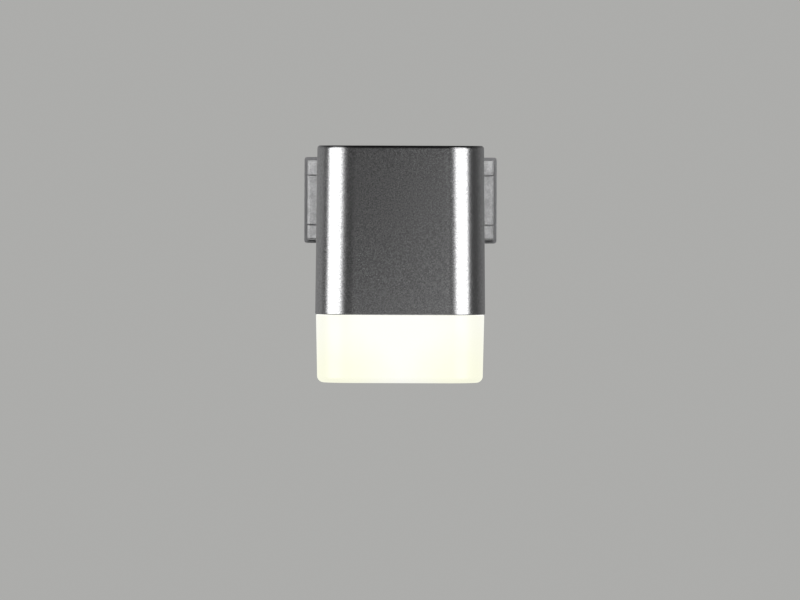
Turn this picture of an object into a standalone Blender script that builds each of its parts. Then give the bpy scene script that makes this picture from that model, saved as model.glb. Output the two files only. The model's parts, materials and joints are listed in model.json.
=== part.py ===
"""Track spotlight: a square metal head with an opal diffuser, on a wall-track adapter.

Lengths are in metres, with +Z up, X along the track and +Y into the track.
The origin is the centre of the adapter's seat on the front face of the track.
The head swivels about the Y axis, and a slide in the adapter turns two cams behind the track's lips.
"""

import math

import bmesh
import bpy
from mathutils import Matrix, Vector

MM = 0.001
GAP = 0.3 * MM
OVERSHOOT = 1 * MM  # how far a cutter reaches past the faces that it cuts

# Head shell: a drafted square tube, closed at the top.
HEAD_TOP_Z = 21.4 * MM
SEAM_Z = -43.6 * MM
HEAD_REAR_Y = -7.7 * MM
HEAD_WIDTH_TOP = 64.2 * MM
HEAD_WIDTH_SEAM = 65.5 * MM
HEAD_CORNER = 15.0 * MM
HEAD_WALL = 2.0 * MM
HEAD_EDGE = 1.5 * MM
SEAM_CHAMFER = 0.3 * MM
CORNER_STEPS = 8
STEM_HOLE_PLAY = 0.2 * MM
BOSS_ROOT = 1.3 * MM
BOSS_PILOT_RADIUS = 1.5 * MM
BOSS_PILOT_START = 0.4 * MM

# Opal diffuser: a tapered cup with a neck that plugs into the shell.
DIFFUSER_TOP_Z = SEAM_Z - GAP
DIFFUSER_BOTTOM_Z = -70.0 * MM
DIFFUSER_INSET = 0.35 * MM
DIFFUSER_TAPER = 0.55 * MM
DIFFUSER_WALL = 2.6 * MM
DIFFUSER_EDGE = 2.4 * MM
NECK_TOP_Z = -39.0 * MM
NECK_INSET = HEAD_WALL + 0.4 * MM
NECK_WALL = 1.8 * MM
SHOULDER_DROP = 1.4 * MM
SHOULDER_SLOPE = 1.6 * MM
DIFFUSER_INNER_EDGE = 1.6 * MM

# Adapter: a stepped channel that carries the slide, and a tongue that enters the track's slot.
BASE_WIDTH = 75.2 * MM
BASE_HEIGHT = 33.6 * MM
BASE_THICKNESS = 1.5 * MM
BASE_CORNER = 1.0 * MM
TONGUE_RECESS = 0.3 * MM
TONGUE_PLAY = 0.7 * MM
RAIL_ROOT = 0.1 * MM
FACE_WIDTH = 72.7 * MM
FACE_HEIGHT = 31.1 * MM
FACE_Y = -5.6 * MM
FACE_CHAMFER = 0.8 * MM
CHANNEL_HALF = 9.8 * MM
UNDERCUT_HALF = 11.3 * MM
UNDERCUT_Y = -3.7 * MM
GROOVE_CHAMFER = 0.3 * MM
TONGUE_LENGTH = 69.0 * MM
TONGUE_HALF = 6.8 * MM
WEB_BACK = 3.0 * MM
BLOCK_BACK = 8.0 * MM
BLOCK_HALF = 13.2 * MM
CAP_BACK = 10.3 * MM
CAP_CORNER = 1.0 * MM
STEM_POCKET_BACK = 6.5 * MM
CABLE_RADIUS = 1.3 * MM
CHANNEL_FRONT = 3.2 * MM
CHANNEL_BACK = 7.4 * MM
CABLE_CHANNEL_HALF = 1.9 * MM

# Screws that hold the tongue on the adapter.
TONGUE_SCREW_X = 9.8 * MM
TONGUE_SCREW_Z = 4.2 * MM
TONGUE_SCREW_HOLE = 1.25 * MM
TONGUE_SCREW_TIP_Y = -1.2 * MM
TONGUE_SCREW_SHANK = 0.95 * MM
TONGUE_SCREW_HEAD = 1.8 * MM
TONGUE_SCREW_HEIGHT = 0.9 * MM
COUNTERBORE_RADIUS = 2.1 * MM
COUNTERBORE_DEPTH = 1.2 * MM

# Earth strip: an arched spring in a recess on top of the tongue.
EARTH_HALF = 6.0 * MM
EARTH_FRONT = 3.6 * MM
EARTH_BACK = 6.8 * MM
EARTH_END_Z = 6.4 * MM
EARTH_RISE = 1.2 * MM
EARTH_THICKNESS = 0.4 * MM
EARTH_END_PLAY = 0.5 * MM
EARTH_STEPS = 6

# Locking cams: each turns a quarter turn with its pinion in the slide's rack.
CAM_X = 24.0 * MM
CAM_LOBE_HALF = 10.0 * MM
CONTACT_LOBE_HALF = 8.4 * MM
CAM_LOBE_WIDTH = 6.0 * MM
CAM_FRONT = 3.3 * MM
CAM_BACK = 7.7 * MM
CAM_SHOULDER_Y = CAM_FRONT + 1 * MM
CAM_SHAFT_RADIUS = 3.0 * MM
CAM_TAIL_RADIUS = 2.0 * MM
PINION_SEAT_RADIUS = 1.7 * MM
PITCH_RADIUS = 4.0 * MM
TEETH = 10
ADDENDUM = 0.5 * MM
DEDENDUM = 0.9 * MM
BACKLASH = 0.32 * MM
PRESSURE_ANGLE = math.radians(25)
SLIDE_TRAVEL = PITCH_RADIUS * math.pi / 2
TOOTH_PITCH = 2 * math.pi * PITCH_RADIUS / TEETH
PINION_FRONT = -3.2 * MM
POCKET_SIDE = 1.3 * MM
POCKET_BELOW = 1.2 * MM
POCKET_FRONT = PINION_FRONT - 0.4 * MM
BLADE_THICKNESS = 0.6 * MM
BLADE_REACH = 9.7 * MM
BLADE_TIP = 1.0 * MM
BLADE_FOOT = 5.0 * MM
BLADE_CORNER = 0.8 * MM

# Swivel: a threaded hollow stem, a collar behind the head's rear wall, washers and a nut inside it.
STEM_RADIUS = 5.0 * MM
STEM_BORE = 3.2 * MM
STEM_FRONT_Y = -19.5 * MM
STEM_FLANGE_RADIUS = 6.0 * MM
STEM_FLANGE_BACK = 1.6 * MM
CLEAR_RADIUS = STEM_RADIUS + GAP
COLLAR_RADIUS = 9.0 * MM
WASHER_RADIUS = 8.0 * MM
FRICTION_THICKNESS = 0.8 * MM
WAVE_RISE = 0.35 * MM
WAVE_THICKNESS = 0.4 * MM
STOP_WASHER_THICKNESS = 1.0 * MM
STOP_TAB_RADIUS = 13.0 * MM
STOP_TAB_HALF_ANGLE = math.radians(7.5)
STOP_PIN_ORBIT = 11.5 * MM
STOP_PIN_RADIUS = 1.2 * MM
STOP_PIN_FRONT_Y = -13.9 * MM
STOP_PIN_CHAMFER = 0.3 * MM
NUT_ACROSS_FLATS = 15.0 * MM
NUT_THICKNESS = 4.0 * MM

# Chassis, driver and light engine inside the head.
REAR_WALL_INNER_Y = HEAD_REAR_Y - HEAD_WALL
BOSS_X = 20.0 * MM
BOSS_Z = 13.0 * MM
BOSS_RADIUS = 3.0 * MM
BOSS_FRONT_Y = -12.2 * MM
CHASSIS_Y = -12.5 * MM
SHEET = 1.5 * MM
SHEET_BEND = 2.5 * MM
LEG_TOP_Z = 17.0 * MM
LEG_OPENING = 14.5 * MM
SHELF_Z = -17.0 * MM
SHELF_FRONT_Y = -66.0 * MM
CHASSIS_HALF = 24.0 * MM
CHASSIS_SCREW_HOLE = 1.6 * MM
CHASSIS_SCREW_START = 0.8 * MM
CHASSIS_SCREW_SHANK = 1.2 * MM
CHASSIS_SCREW_HEAD = 2.4 * MM
CHASSIS_SCREW_HEIGHT = 1.6 * MM
LUG_HALF = 2.7 * MM
LUG_CORNER = 2.5 * MM
LUG_THICKNESS = 0.6 * MM
LUG_TAIL_ROOT = 2.0 * MM
LUG_TAIL_END = 6.0 * MM
LUG_TAIL_HALF = 1.2 * MM
EARTH_WIRE_RADIUS = 0.8 * MM
ENGINE_Y = -40.0 * MM
ENGINE_HALF = 25.0 * MM
SINK_BOTTOM_Z = -37.0 * MM
SINK_BASE = 4.0 * MM
FIN_PITCH = 6.3 * MM
FIN_PAIRS = 4
FIN_THICKNESS = 1.4 * MM
BOARD_HALF = 24.0 * MM
PAD_THICKNESS = 0.5 * MM
BOARD_THICKNESS = 1.6 * MM
ENGINE_SCREW_X = 2.5 * FIN_PITCH
ENGINE_SCREW_Y = 19.8 * MM
ENGINE_SCREW_HOLE = 1.5 * MM
ENGINE_SCREW_SHANK = 1.15 * MM
ENGINE_SCREW_HEAD = 2.2 * MM
ENGINE_SCREW_HEIGHT = 1.4 * MM
PAD_CORNER = 1 * MM
BOARD_CORNER = 3 * MM
EMITTER_OFFSET = 9.0 * MM
EMITTER_RADIUS = 2.6 * MM
EMITTER_RIM = 0.9 * MM
DOME_RADIUS = 2.0 * MM
DOME_HEIGHT = 1.8 * MM
REFLECTOR_DEPTH = 5 * MM
REFLECTOR_WALL = 1.2 * MM
REFLECTOR_TOP_HALF = 23.8 * MM
REFLECTOR_BOTTOM_HALF = 26.3 * MM
REFLECTOR_CORNER = 5 * MM
TRAY_REAR_Y = -25.0 * MM
TRAY_FRONT_Y = -65.0 * MM
TRAY_HALF = 23.0 * MM
TRAY_TOP_Z = 9.0 * MM
TRAY_WALL = 1.2 * MM
TRAY_CORNER = 2 * MM
TRAY_INNER_CORNER = 1 * MM
CABLE_NOTCH_HALF = 8 * MM
CABLE_NOTCH_BOTTOM_Z = -9 * MM
CABLE_NOTCH_TOP_Z = 4 * MM
LEAD_NOTCH_LEFT = 11 * MM
LEAD_NOTCH_RIGHT = 19 * MM
LEAD_NOTCH_HEIGHT = 4 * MM
DRIVER_BOARD_Z = -14.0 * MM
DRIVER_BOARD_HALF = 20.5 * MM
DRIVER_BOARD_FRONT_Y = -63 * MM
DRIVER_BOARD_REAR_Y = -27 * MM
CORE_X = -10 * MM
CORE_Y = -48 * MM
CORE_HALF_WIDTH = 9 * MM
CORE_HALF_DEPTH = 4 * MM
CORE_HEIGHT = 16 * MM
CORE_LEG_HALF = 2 * MM
CORE_YOKE = 3 * MM
WINDING = 3.2 * MM
WINDING_CORNER = 2.5 * MM
BOBBIN_CORNER = 0.5 * MM
CAN_EDGE = 0.6 * MM
CAN_GROOVE_HEIGHT = 1.7 * MM
CAN_GROOVE_HALF = 0.5 * MM
TERMINAL_HALF = 8 * MM
TERMINAL_FRONT_Y = -37 * MM
TERMINAL_REAR_Y = -29.6 * MM
TERMINAL_HEIGHT = 11 * MM
POLE_PITCH = 5 * MM
POLE_Y = -33.5 * MM
POLE_RADIUS = 1.4 * MM
POLE_DEPTH = 3 * MM
CLIP_HALF = 4.0 * MM
CLIP_THICKNESS = 0.5 * MM
CLIP_FOOT = BOARD_HALF + 0.6 * MM
CLIP_TIP_Z = -43.6 * MM
CLIP_CURL = 0.6 * MM
LEAD_RADIUS = 0.7 * MM
LEAD_START_HEIGHT = 1.2 * MM
POSITIVE_X = 13.5 * MM
NEGATIVE_X = 16.5 * MM

PAD_TOP_Z = SINK_BOTTOM_Z - GAP
BOARD_TOP_Z = PAD_TOP_Z - PAD_THICKNESS - GAP
BOARD_BOTTOM_Z = BOARD_TOP_Z - BOARD_THICKNESS
DRIVER_PARTS_Z = DRIVER_BOARD_Z + BOARD_THICKNESS + GAP


# ---------------------------------------------------------------- scene and materials

def clear_scene():
    for thing in list(bpy.data.objects):
        bpy.data.objects.remove(thing)


def finish(name, colour, roughness, metallic):
    surface = bpy.data.materials.new(name)
    surface.use_nodes = True
    shader = surface.node_tree.nodes["Principled BSDF"]
    shader.inputs["Base Color"].default_value = (*colour, 1.0)
    shader.inputs["Roughness"].default_value = roughness
    shader.inputs["Metallic"].default_value = metallic
    return surface


def make_finishes():
    return {
        "satin_metal": finish("satin_metal", (0.60, 0.60, 0.60), 0.32, 1.0),
        "silver_paint": finish("silver_paint", (0.42, 0.42, 0.43), 0.5, 0.6),
        "opal": finish("opal", (0.95, 0.93, 0.85), 0.35, 0.0),
        "zinc": finish("zinc", (0.55, 0.56, 0.58), 0.4, 1.0),
        "steel": finish("steel", (0.62, 0.62, 0.64), 0.3, 1.0),
        "brass": finish("brass", (0.75, 0.58, 0.26), 0.3, 1.0),
        "copper": finish("copper", (0.80, 0.45, 0.28), 0.3, 1.0),
        "aluminium": finish("aluminium", (0.72, 0.73, 0.74), 0.4, 1.0),
        "black_plastic": finish("black_plastic", (0.03, 0.03, 0.03), 0.5, 0.0),
        "white_plastic": finish("white_plastic", (0.85, 0.85, 0.83), 0.45, 0.0),
        "fibre": finish("fibre", (0.42, 0.18, 0.10), 0.7, 0.0),
        "circuit_board": finish("circuit_board", (0.04, 0.20, 0.09), 0.45, 0.0),
        "white_board": finish("white_board", (0.90, 0.90, 0.88), 0.4, 0.0),
        "ferrite": finish("ferrite", (0.09, 0.09, 0.10), 0.6, 0.0),
        "coil_tape": finish("coil_tape", (0.80, 0.62, 0.10), 0.5, 0.0),
        "thermal_pad": finish("thermal_pad", (0.45, 0.52, 0.58), 0.8, 0.0),
        "emitter": finish("emitter", (0.92, 0.78, 0.30), 0.25, 0.0),
        "grey_sheath": finish("grey_sheath", (0.35, 0.35, 0.36), 0.6, 0.0),
        "red_lead": finish("red_lead", (0.60, 0.04, 0.03), 0.5, 0.0),
        "black_lead": finish("black_lead", (0.02, 0.02, 0.02), 0.5, 0.0),
        "green_lead": finish("green_lead", (0.20, 0.45, 0.05), 0.5, 0.0),
    }


# ---------------------------------------------------------------- outlines

def placed(axis, across, up, along):
    """A point from its two coordinates across an axis and its place along that axis."""
    if axis == "X":
        return Vector((along, across, up))
    if axis == "Y":
        return Vector((across, along, up))
    return Vector((across, up, along))


def arc(centre, radius, start, end, steps):
    """Points on a circular arc, both ends included; angles are in radians."""
    points = []
    for step in range(steps + 1):
        angle = start + (end - start) * step / steps
        points.append((centre[0] + radius * math.cos(angle), centre[1] + radius * math.sin(angle)))
    return points


def circle(radius, count, centre=(0.0, 0.0)):
    return arc(centre, radius, 0.0, 2 * math.pi * (count - 1) / count, count - 1)


def rounded_rectangle(half_width, half_height, radius, centre=(0.0, 0.0), steps=3):
    outline = []
    for quarter, (side_x, side_y) in enumerate(((1, 1), (-1, 1), (-1, -1), (1, -1))):
        middle = (
            centre[0] + side_x * (half_width - radius),
            centre[1] + side_y * (half_height - radius),
        )
        start = quarter * math.pi / 2
        outline += arc(middle, radius, start, start + math.pi / 2, steps)
    return outline


def polar_outline(radius_at, count):
    """A closed outline whose radius is a function of the angle."""
    angles = [2 * math.pi * step / count for step in range(count)]
    return [(radius_at(a) * math.cos(a), radius_at(a) * math.sin(a)) for a in angles]


def head_outline(size_z, inset):
    """The head's plan outline at a height, moved in by an inset; its rear side is upright."""
    depth_share = (HEAD_TOP_Z - size_z) / (HEAD_TOP_Z - SEAM_Z)
    width = HEAD_WIDTH_TOP + depth_share * (HEAD_WIDTH_SEAM - HEAD_WIDTH_TOP)
    depth = HEAD_WIDTH_TOP + depth_share * (HEAD_WIDTH_SEAM - HEAD_WIDTH_TOP) / 2
    middle = (0.0, HEAD_REAR_Y - depth / 2)
    return rounded_rectangle(
        width / 2 - inset, depth / 2 - inset, HEAD_CORNER - inset, middle, CORNER_STEPS
    )


def head_ring(z, inset):
    return [placed("Z", x, y, z) for x, y in head_outline(z, inset)]


def diffuser_ring(z, inset):
    share = (DIFFUSER_TOP_Z - z) / (DIFFUSER_TOP_Z - DIFFUSER_BOTTOM_Z)
    outline = head_outline(SEAM_Z, DIFFUSER_INSET + share * DIFFUSER_TAPER + inset)
    return [placed("Z", x, y, z) for x, y in outline]


# ---------------------------------------------------------------- solids
# A solid is a stack of point rings of equal length, and whether the stack closes on itself.

def prism(outline, axis, start, end):
    return [[placed(axis, u, v, along) for u, v in outline] for along in (start, end)], False


def band(outer, inner, axis, start, end):
    """The plate between two outlines that have the same number of points."""
    edges = ((outer, start), (outer, end), (inner, end), (inner, start))
    return [[placed(axis, u, v, along) for u, v in outline] for outline, along in edges], True


def turned(stations, axis, centre=(0.0, 0.0), hollow=False, segments=16):
    """A solid of revolution; each station is a radius and a place along the axis."""
    rings = []
    for radius, along in stations:
        rings.append([placed(axis, u, v, along) for u, v in circle(radius, segments, centre)])
    return rings, hollow


def box(low, high):
    outline = [(low[0], low[1]), (high[0], low[1]), (high[0], high[1]), (low[0], high[1])]
    return prism(outline, "Z", low[2], high[2])


def drill(radius, axis, centre, start, end):
    segments = 32 if radius > COLLAR_RADIUS else 14
    return turned([(radius, start), (radius, end)], axis, centre, segments=segments)


def add_solid(shape, solid):
    rings, closes = solid
    loops = [[shape.verts.new(point) for point in ring] for ring in rings]
    pairs = list(zip(loops, loops[1:]))
    if closes:
        pairs.append((loops[-1], loops[0]))
    for first, second in pairs:
        for index in range(len(first)):
            after = (index + 1) % len(first)
            shape.faces.new((first[index], first[after], second[after], second[index]))
    if not closes:
        shape.faces.new(loops[0])
        shape.faces.new(loops[-1])


def make(name, surface, body, *solids):
    """One object from one or more solids, parented to the empty that carries its body."""
    shape = bmesh.new()
    for solid in solids:
        add_solid(shape, solid)
    bmesh.ops.recalc_face_normals(shape, faces=shape.faces[:])
    mesh = bpy.data.meshes.new(name)
    shape.to_mesh(mesh)
    shape.free()
    mesh.shade_smooth()
    mesh.set_sharp_from_angle(angle=math.radians(30))
    if surface:
        mesh.materials.append(surface)
    return add_object(name, mesh, body)


def add_object(name, data, body):
    thing = bpy.data.objects.new(name, data)
    bpy.context.scene.collection.objects.link(thing)
    if body:
        thing.parent = body
        thing.matrix_parent_inverse = Matrix.Translation(body.location).inverted()
    return thing


def joint_empty(name, place):
    empty = bpy.data.objects.new(name, None)
    empty.location = place
    empty.empty_display_size = 5 * MM
    bpy.context.scene.collection.objects.link(empty)
    return empty


def combine(target, operation, label, *solids):
    """Join solids to an object, or cut them from it, with a Boolean modifier."""
    tool = make(target.name + "_" + label, None, None, *solids)
    tool.hide_render = True
    tool.display_type = "WIRE"
    tool.parent = target
    modifier = target.modifiers.new(label, "BOOLEAN")
    modifier.operation = operation
    modifier.solver = "EXACT"
    modifier.object = tool


def cut(target, *solids):
    combine(target, "DIFFERENCE", "cut", *solids)


def join(target, *solids):
    combine(target, "UNION", "join", *solids)


def screw(name, surface, body, axis, centre, tip, seat, top, shank_radius, head_radius):
    """A cap screw along an axis: its tip, the seat under its head, and the top of its head."""
    out = math.copysign(1.0, top - seat)
    edge = 0.3 * MM
    socket = 0.5 * head_radius
    stations = [
        (shank_radius - edge, tip),
        (shank_radius, tip + out * edge),
        (shank_radius, seat),
        (head_radius, seat),
        (head_radius, top - out * edge),
        (head_radius - edge, top),
        (socket, top),
        (socket, top - out * 0.5 * abs(top - seat)),
    ]
    return make(name, surface, body, turned(stations, axis, centre, segments=12))


def lead(name, surface, body, points, radius):
    """A flexible wire along a smooth curve through its route's points."""
    curve = bpy.data.curves.new(name, "CURVE")
    curve.dimensions = "3D"
    curve.bevel_depth = radius
    curve.bevel_resolution = 2
    curve.use_fill_caps = True
    route = smooth_route([Vector(point) for point in points], 3)
    spline = curve.splines.new("POLY")
    spline.points.add(len(route) - 1)
    for target, point in zip(spline.points, route):
        target.co = (*point, 1.0)
    curve.materials.append(surface)
    return add_object(name, curve, body)


def smooth_route(points, steps):
    """Catmull-Rom curve through the points."""
    ends = [2 * points[0] - points[1], *points, 2 * points[-1] - points[-2]]
    route = []
    for a, b, c, d in zip(ends, ends[1:], ends[2:], ends[3:]):
        for step in range(steps):
            t = step / steps
            route.append(
                0.5 * (2 * b + (c - a) * t + (2 * a - 5 * b + 4 * c - d) * t**2
                       + (3 * b - a - 3 * c + d) * t**3)
            )
    route.append(points[-1])
    return route


# ---------------------------------------------------------------- adapter

def rail_rings(side):
    """A face rail above (side 1) or below (side -1) the slide, bevelled at both ends."""
    outer = FACE_HEIGHT / 2
    root_y = -BASE_THICKNESS + RAIL_ROOT
    rings = []
    for along, lowered in (
        (-FACE_WIDTH / 2, FACE_CHAMFER),
        (-FACE_WIDTH / 2 + FACE_CHAMFER, 0.0),
        (FACE_WIDTH / 2 - FACE_CHAMFER, 0.0),
        (FACE_WIDTH / 2, FACE_CHAMFER),
    ):
        front = FACE_Y + lowered
        profile = [
            (root_y, UNDERCUT_HALF),
            (root_y, outer),
            (front + FACE_CHAMFER, outer),
            (front, outer - FACE_CHAMFER),
            (front, CHANNEL_HALF + GROOVE_CHAMFER),
            (front + GROOVE_CHAMFER, CHANNEL_HALF),
            (UNDERCUT_Y, CHANNEL_HALF),
            (UNDERCUT_Y, UNDERCUT_HALF),
        ]
        rings.append([placed("X", y, side * z, along) for y, z in profile])
    return rings, False


def adapter_housing(finishes):
    base = rounded_rectangle(BASE_WIDTH / 2, BASE_HEIGHT / 2, BASE_CORNER)
    housing = make(
        "adapter_housing", finishes["silver_paint"], None, prism(base, "Y", 0.0, -BASE_THICKNESS)
    )
    join(housing, rail_rings(1), rail_rings(-1))
    recess_half = TONGUE_HALF + TONGUE_PLAY
    recess = box((-BASE_WIDTH, -TONGUE_RECESS, -recess_half), (BASE_WIDTH, OVERSHOOT, recess_half))
    cut(housing, recess)
    through = (OVERSHOOT, -2 * BASE_THICKNESS)
    shaft_hole = CAM_SHAFT_RADIUS + GAP
    cut(
        housing,
        drill(CLEAR_RADIUS, "Y", (0, 0), *through),
        drill(shaft_hole, "Y", (-CAM_X, 0), *through),
        drill(shaft_hole, "Y", (CAM_X, 0), *through),
        *[drill(TONGUE_SCREW_HOLE, "Y", centre, *through) for centre in tongue_screw_centres()],
    )


def tongue_screw_centres():
    return [(x * TONGUE_SCREW_X, z * TONGUE_SCREW_Z) for x in (-1, 1) for z in (-1, 1)]


def tongue_frame(finishes):
    half = TONGUE_LENGTH / 2
    plan = [
        (-half, 0.0),
        (half, 0.0),
        (half, WEB_BACK),
        (BLOCK_HALF, WEB_BACK),
        (BLOCK_HALF, BLOCK_BACK),
        (-BLOCK_HALF, BLOCK_BACK),
        (-BLOCK_HALF, WEB_BACK),
        (-half, WEB_BACK),
    ]
    frame = make(
        "tongue_frame", finishes["black_plastic"], None, prism(plan, "Z", -TONGUE_HALF, TONGUE_HALF)
    )
    flange_pocket = turned(
        [
            (STEM_FLANGE_RADIUS + GAP, -OVERSHOOT),
            (STEM_FLANGE_RADIUS + GAP, STEM_FLANGE_BACK + GAP),
            (STEM_BORE, STEM_FLANGE_BACK + GAP),
            (STEM_BORE, STEM_POCKET_BACK),
        ],
        "Y",
    )
    cut(frame, flange_pocket)
    cable_channel = box(
        (0.0, CHANNEL_FRONT, -CABLE_CHANNEL_HALF),
        (BLOCK_HALF + OVERSHOOT, CHANNEL_BACK, CABLE_CHANNEL_HALF),
    )
    cut(frame, cable_channel)
    recess_half = EARTH_HALF + EARTH_END_PLAY
    earth_recess = box(
        (-recess_half, EARTH_FRONT - GAP, EARTH_END_Z - EARTH_THICKNESS - GAP),
        (recess_half, EARTH_BACK + GAP, 2 * TONGUE_HALF),
    )
    web = (-OVERSHOOT, WEB_BACK + OVERSHOOT)
    cut(
        frame,
        earth_recess,
        drill(CAM_SHAFT_RADIUS + GAP, "Y", (-CAM_X, 0), *web),
        drill(CAM_SHAFT_RADIUS + GAP, "Y", (CAM_X, 0), *web),
        *[
            drill(TONGUE_SCREW_HOLE, "Y", centre, -OVERSHOOT, BLOCK_BACK + OVERSHOOT)
            for centre in tongue_screw_centres()
        ],
    )


def tongue_cap(finishes):
    plate = rounded_rectangle(TONGUE_LENGTH / 2, TONGUE_HALF, CAP_CORNER)
    cap = make(
        "tongue_cap",
        finishes["black_plastic"],
        None,
        prism(plate, "Y", BLOCK_BACK + GAP, CAP_BACK),
    )
    tail_hole = CAM_TAIL_RADIUS + GAP
    span = (BLOCK_BACK, CAP_BACK + OVERSHOOT)
    screw_hole = [
        (TONGUE_SCREW_HOLE, BLOCK_BACK),
        (TONGUE_SCREW_HOLE, CAP_BACK - COUNTERBORE_DEPTH),
        (COUNTERBORE_RADIUS, CAP_BACK - COUNTERBORE_DEPTH),
        (COUNTERBORE_RADIUS, CAP_BACK + OVERSHOOT),
    ]
    cut(
        cap,
        drill(tail_hole, "Y", (-CAM_X, 0), *span),
        drill(tail_hole, "Y", (CAM_X, 0), *span),
        *[turned(screw_hole, "Y", centre) for centre in tongue_screw_centres()],
    )


def tongue_screws(finishes):
    for number, centre in enumerate(tongue_screw_centres(), 1):
        screw(
            f"tongue_screw_{number}", finishes["steel"], None, "Y", centre,
            tip=TONGUE_SCREW_TIP_Y, seat=CAP_BACK - TONGUE_SCREW_HEIGHT, top=CAP_BACK,
            shank_radius=TONGUE_SCREW_SHANK, head_radius=TONGUE_SCREW_HEAD,
        )


def earth_contact(finishes):
    """A sprung strip that stands above the tongue and touches the track's slot."""
    top = []
    for step in range(EARTH_STEPS + 1):
        share = 2 * step / EARTH_STEPS - 1
        top.append((share * EARTH_HALF, EARTH_END_Z + EARTH_RISE * math.cos(share * math.pi / 2)))
    underside = [(x, z - EARTH_THICKNESS) for x, z in reversed(top)]
    make(
        "earth_contact", finishes["brass"], None,
        prism(top + underside, "Y", EARTH_FRONT, EARTH_BACK),
    )


def supply_cable(finishes):
    """From the contact cam's pocket along the tongue, then forward through the stem."""
    lead(
        "supply_cable", finishes["grey_sheath"], None,
        [
            (13.0 * MM, 5.6 * MM, 0),
            (8.0 * MM, 5.6 * MM, 0),
            (3.4 * MM, 5.2 * MM, 0),
            (0.8 * MM, 2.4 * MM, 0),
            (0, -2.5 * MM, 0),
            (0, -11.0 * MM, 0),
            (0, STEM_FRONT_Y + GAP, 0),
        ],
        CABLE_RADIUS,
    )


# ---------------------------------------------------------------- locking slide and cams

def involute(angle):
    return math.tan(angle) - angle


def pinion_outline():
    """Involute teeth, thinned for backlash, with a gap between teeth facing the rack."""
    base = PITCH_RADIUS * math.cos(PRESSURE_ANGLE)
    root = PITCH_RADIUS - DEDENDUM
    tip = PITCH_RADIUS + ADDENDUM
    pitch_half_angle = (TOOTH_PITCH / 2 - BACKLASH) / 2 / PITCH_RADIUS
    flank = [(root, 0.0), (base, 0.0)]
    for share in (0.35, 0.7, 1.0):
        radius = base + share * (tip - base)
        flank.append((radius, math.acos(base / radius)))
    half_angles = [
        (radius, pitch_half_angle + involute(PRESSURE_ANGLE) - involute(pressure))
        for radius, pressure in flank
    ]
    outline = []
    for tooth in range(TEETH):
        middle = math.pi / 2 + (tooth + 0.5) * 2 * math.pi / TEETH
        for radius, half in half_angles:
            outline.append((radius, middle - half))
        for radius, half in reversed(half_angles):
            outline.append((radius, middle + half))
    return [(radius * math.cos(a), radius * math.sin(a)) for radius, a in outline]


def rack_outline(centre_x):
    """The slide's pocket for one pinion: straight below, rack teeth along its upper side."""
    left = centre_x - PITCH_RADIUS - POCKET_SIDE - SLIDE_TRAVEL
    right = centre_x + PITCH_RADIUS + POCKET_SIDE
    below = -PITCH_RADIUS - POCKET_BELOW
    root_z = PITCH_RADIUS + DEDENDUM
    tip_z = PITCH_RADIUS - ADDENDUM
    pitch_half = (TOOTH_PITCH / 2 - BACKLASH) / 2
    tip_half = pitch_half - ADDENDUM * math.tan(PRESSURE_ANGLE)
    root_half = pitch_half + DEDENDUM * math.tan(PRESSURE_ANGLE)
    outline = [(left, root_z), (left, below), (right, below), (right, root_z)]
    first = math.floor((right - root_half - centre_x) / TOOTH_PITCH)
    last = math.ceil((left + root_half - centre_x) / TOOTH_PITCH)
    for tooth in range(first, last - 1, -1):
        middle = centre_x + tooth * TOOTH_PITCH
        outline += [
            (middle + root_half, root_z),
            (middle + tip_half, tip_z),
            (middle - tip_half, tip_z),
            (middle - root_half, root_z),
        ]
    return outline


def locking_slide(finishes, slide):
    back = -BASE_THICKNESS - GAP
    flange_front = UNDERCUT_Y + GAP
    flange_half = UNDERCUT_HALF - GAP
    mouth_half = CHANNEL_HALF - GAP
    rings = []
    for along, lowered in (
        (-FACE_WIDTH / 2, FACE_CHAMFER),
        (-FACE_WIDTH / 2 + FACE_CHAMFER, 0.0),
        (FACE_WIDTH / 2 - FACE_CHAMFER, 0.0),
        (FACE_WIDTH / 2, FACE_CHAMFER),
    ):
        front = FACE_Y + lowered
        upper = [
            (back, flange_half),
            (flange_front, flange_half),
            (flange_front, mouth_half),
            (front + GROOVE_CHAMFER, mouth_half),
            (front, mouth_half - GROOVE_CHAMFER),
        ]
        lower = [(y, -z) for y, z in reversed(upper)]
        rings.append([placed("X", y, z, along) for y, z in upper + lower])
    strip = make("locking_slide", finishes["silver_paint"], slide, (rings, False))
    cut(strip, *[prism(rack_outline(x), "Y", 0.0, POCKET_FRONT) for x in (-CAM_X, CAM_X)])
    slot = arc((0, 0), CLEAR_RADIUS, -math.pi / 2, math.pi / 2, 10)
    slot += arc((-SLIDE_TRAVEL, 0), CLEAR_RADIUS, math.pi / 2, 3 * math.pi / 2, 10)
    cut(strip, prism(slot, "Y", 0.0, 2 * FACE_Y))


def lobe_outline(centre_x, half_length):
    """A bar with round ends, upright when locked behind the track's lips."""
    radius = CAM_LOBE_WIDTH / 2
    upper = arc((centre_x, half_length - radius), radius, 0, math.pi, 8)
    lower = arc((centre_x, radius - half_length), radius, math.pi, 2 * math.pi, 8)
    return upper + lower


def cam(name, surface, body, centre_x, half_length):
    shaft = turned(
        [
            (PINION_SEAT_RADIUS, PINION_FRONT),
            (PINION_SEAT_RADIUS, -BASE_THICKNESS),
            (CAM_SHAFT_RADIUS, -BASE_THICKNESS),
            (CAM_SHAFT_RADIUS, CAM_SHOULDER_Y),
            (CAM_TAIL_RADIUS, CAM_SHOULDER_Y),
            (CAM_TAIL_RADIUS, CAP_BACK - GAP),
        ],
        "Y",
        (centre_x, 0),
    )
    lobe = make(name, surface, body, shaft)
    join(lobe, prism(lobe_outline(centre_x, half_length), "Y", CAM_FRONT, CAM_BACK))


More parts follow.
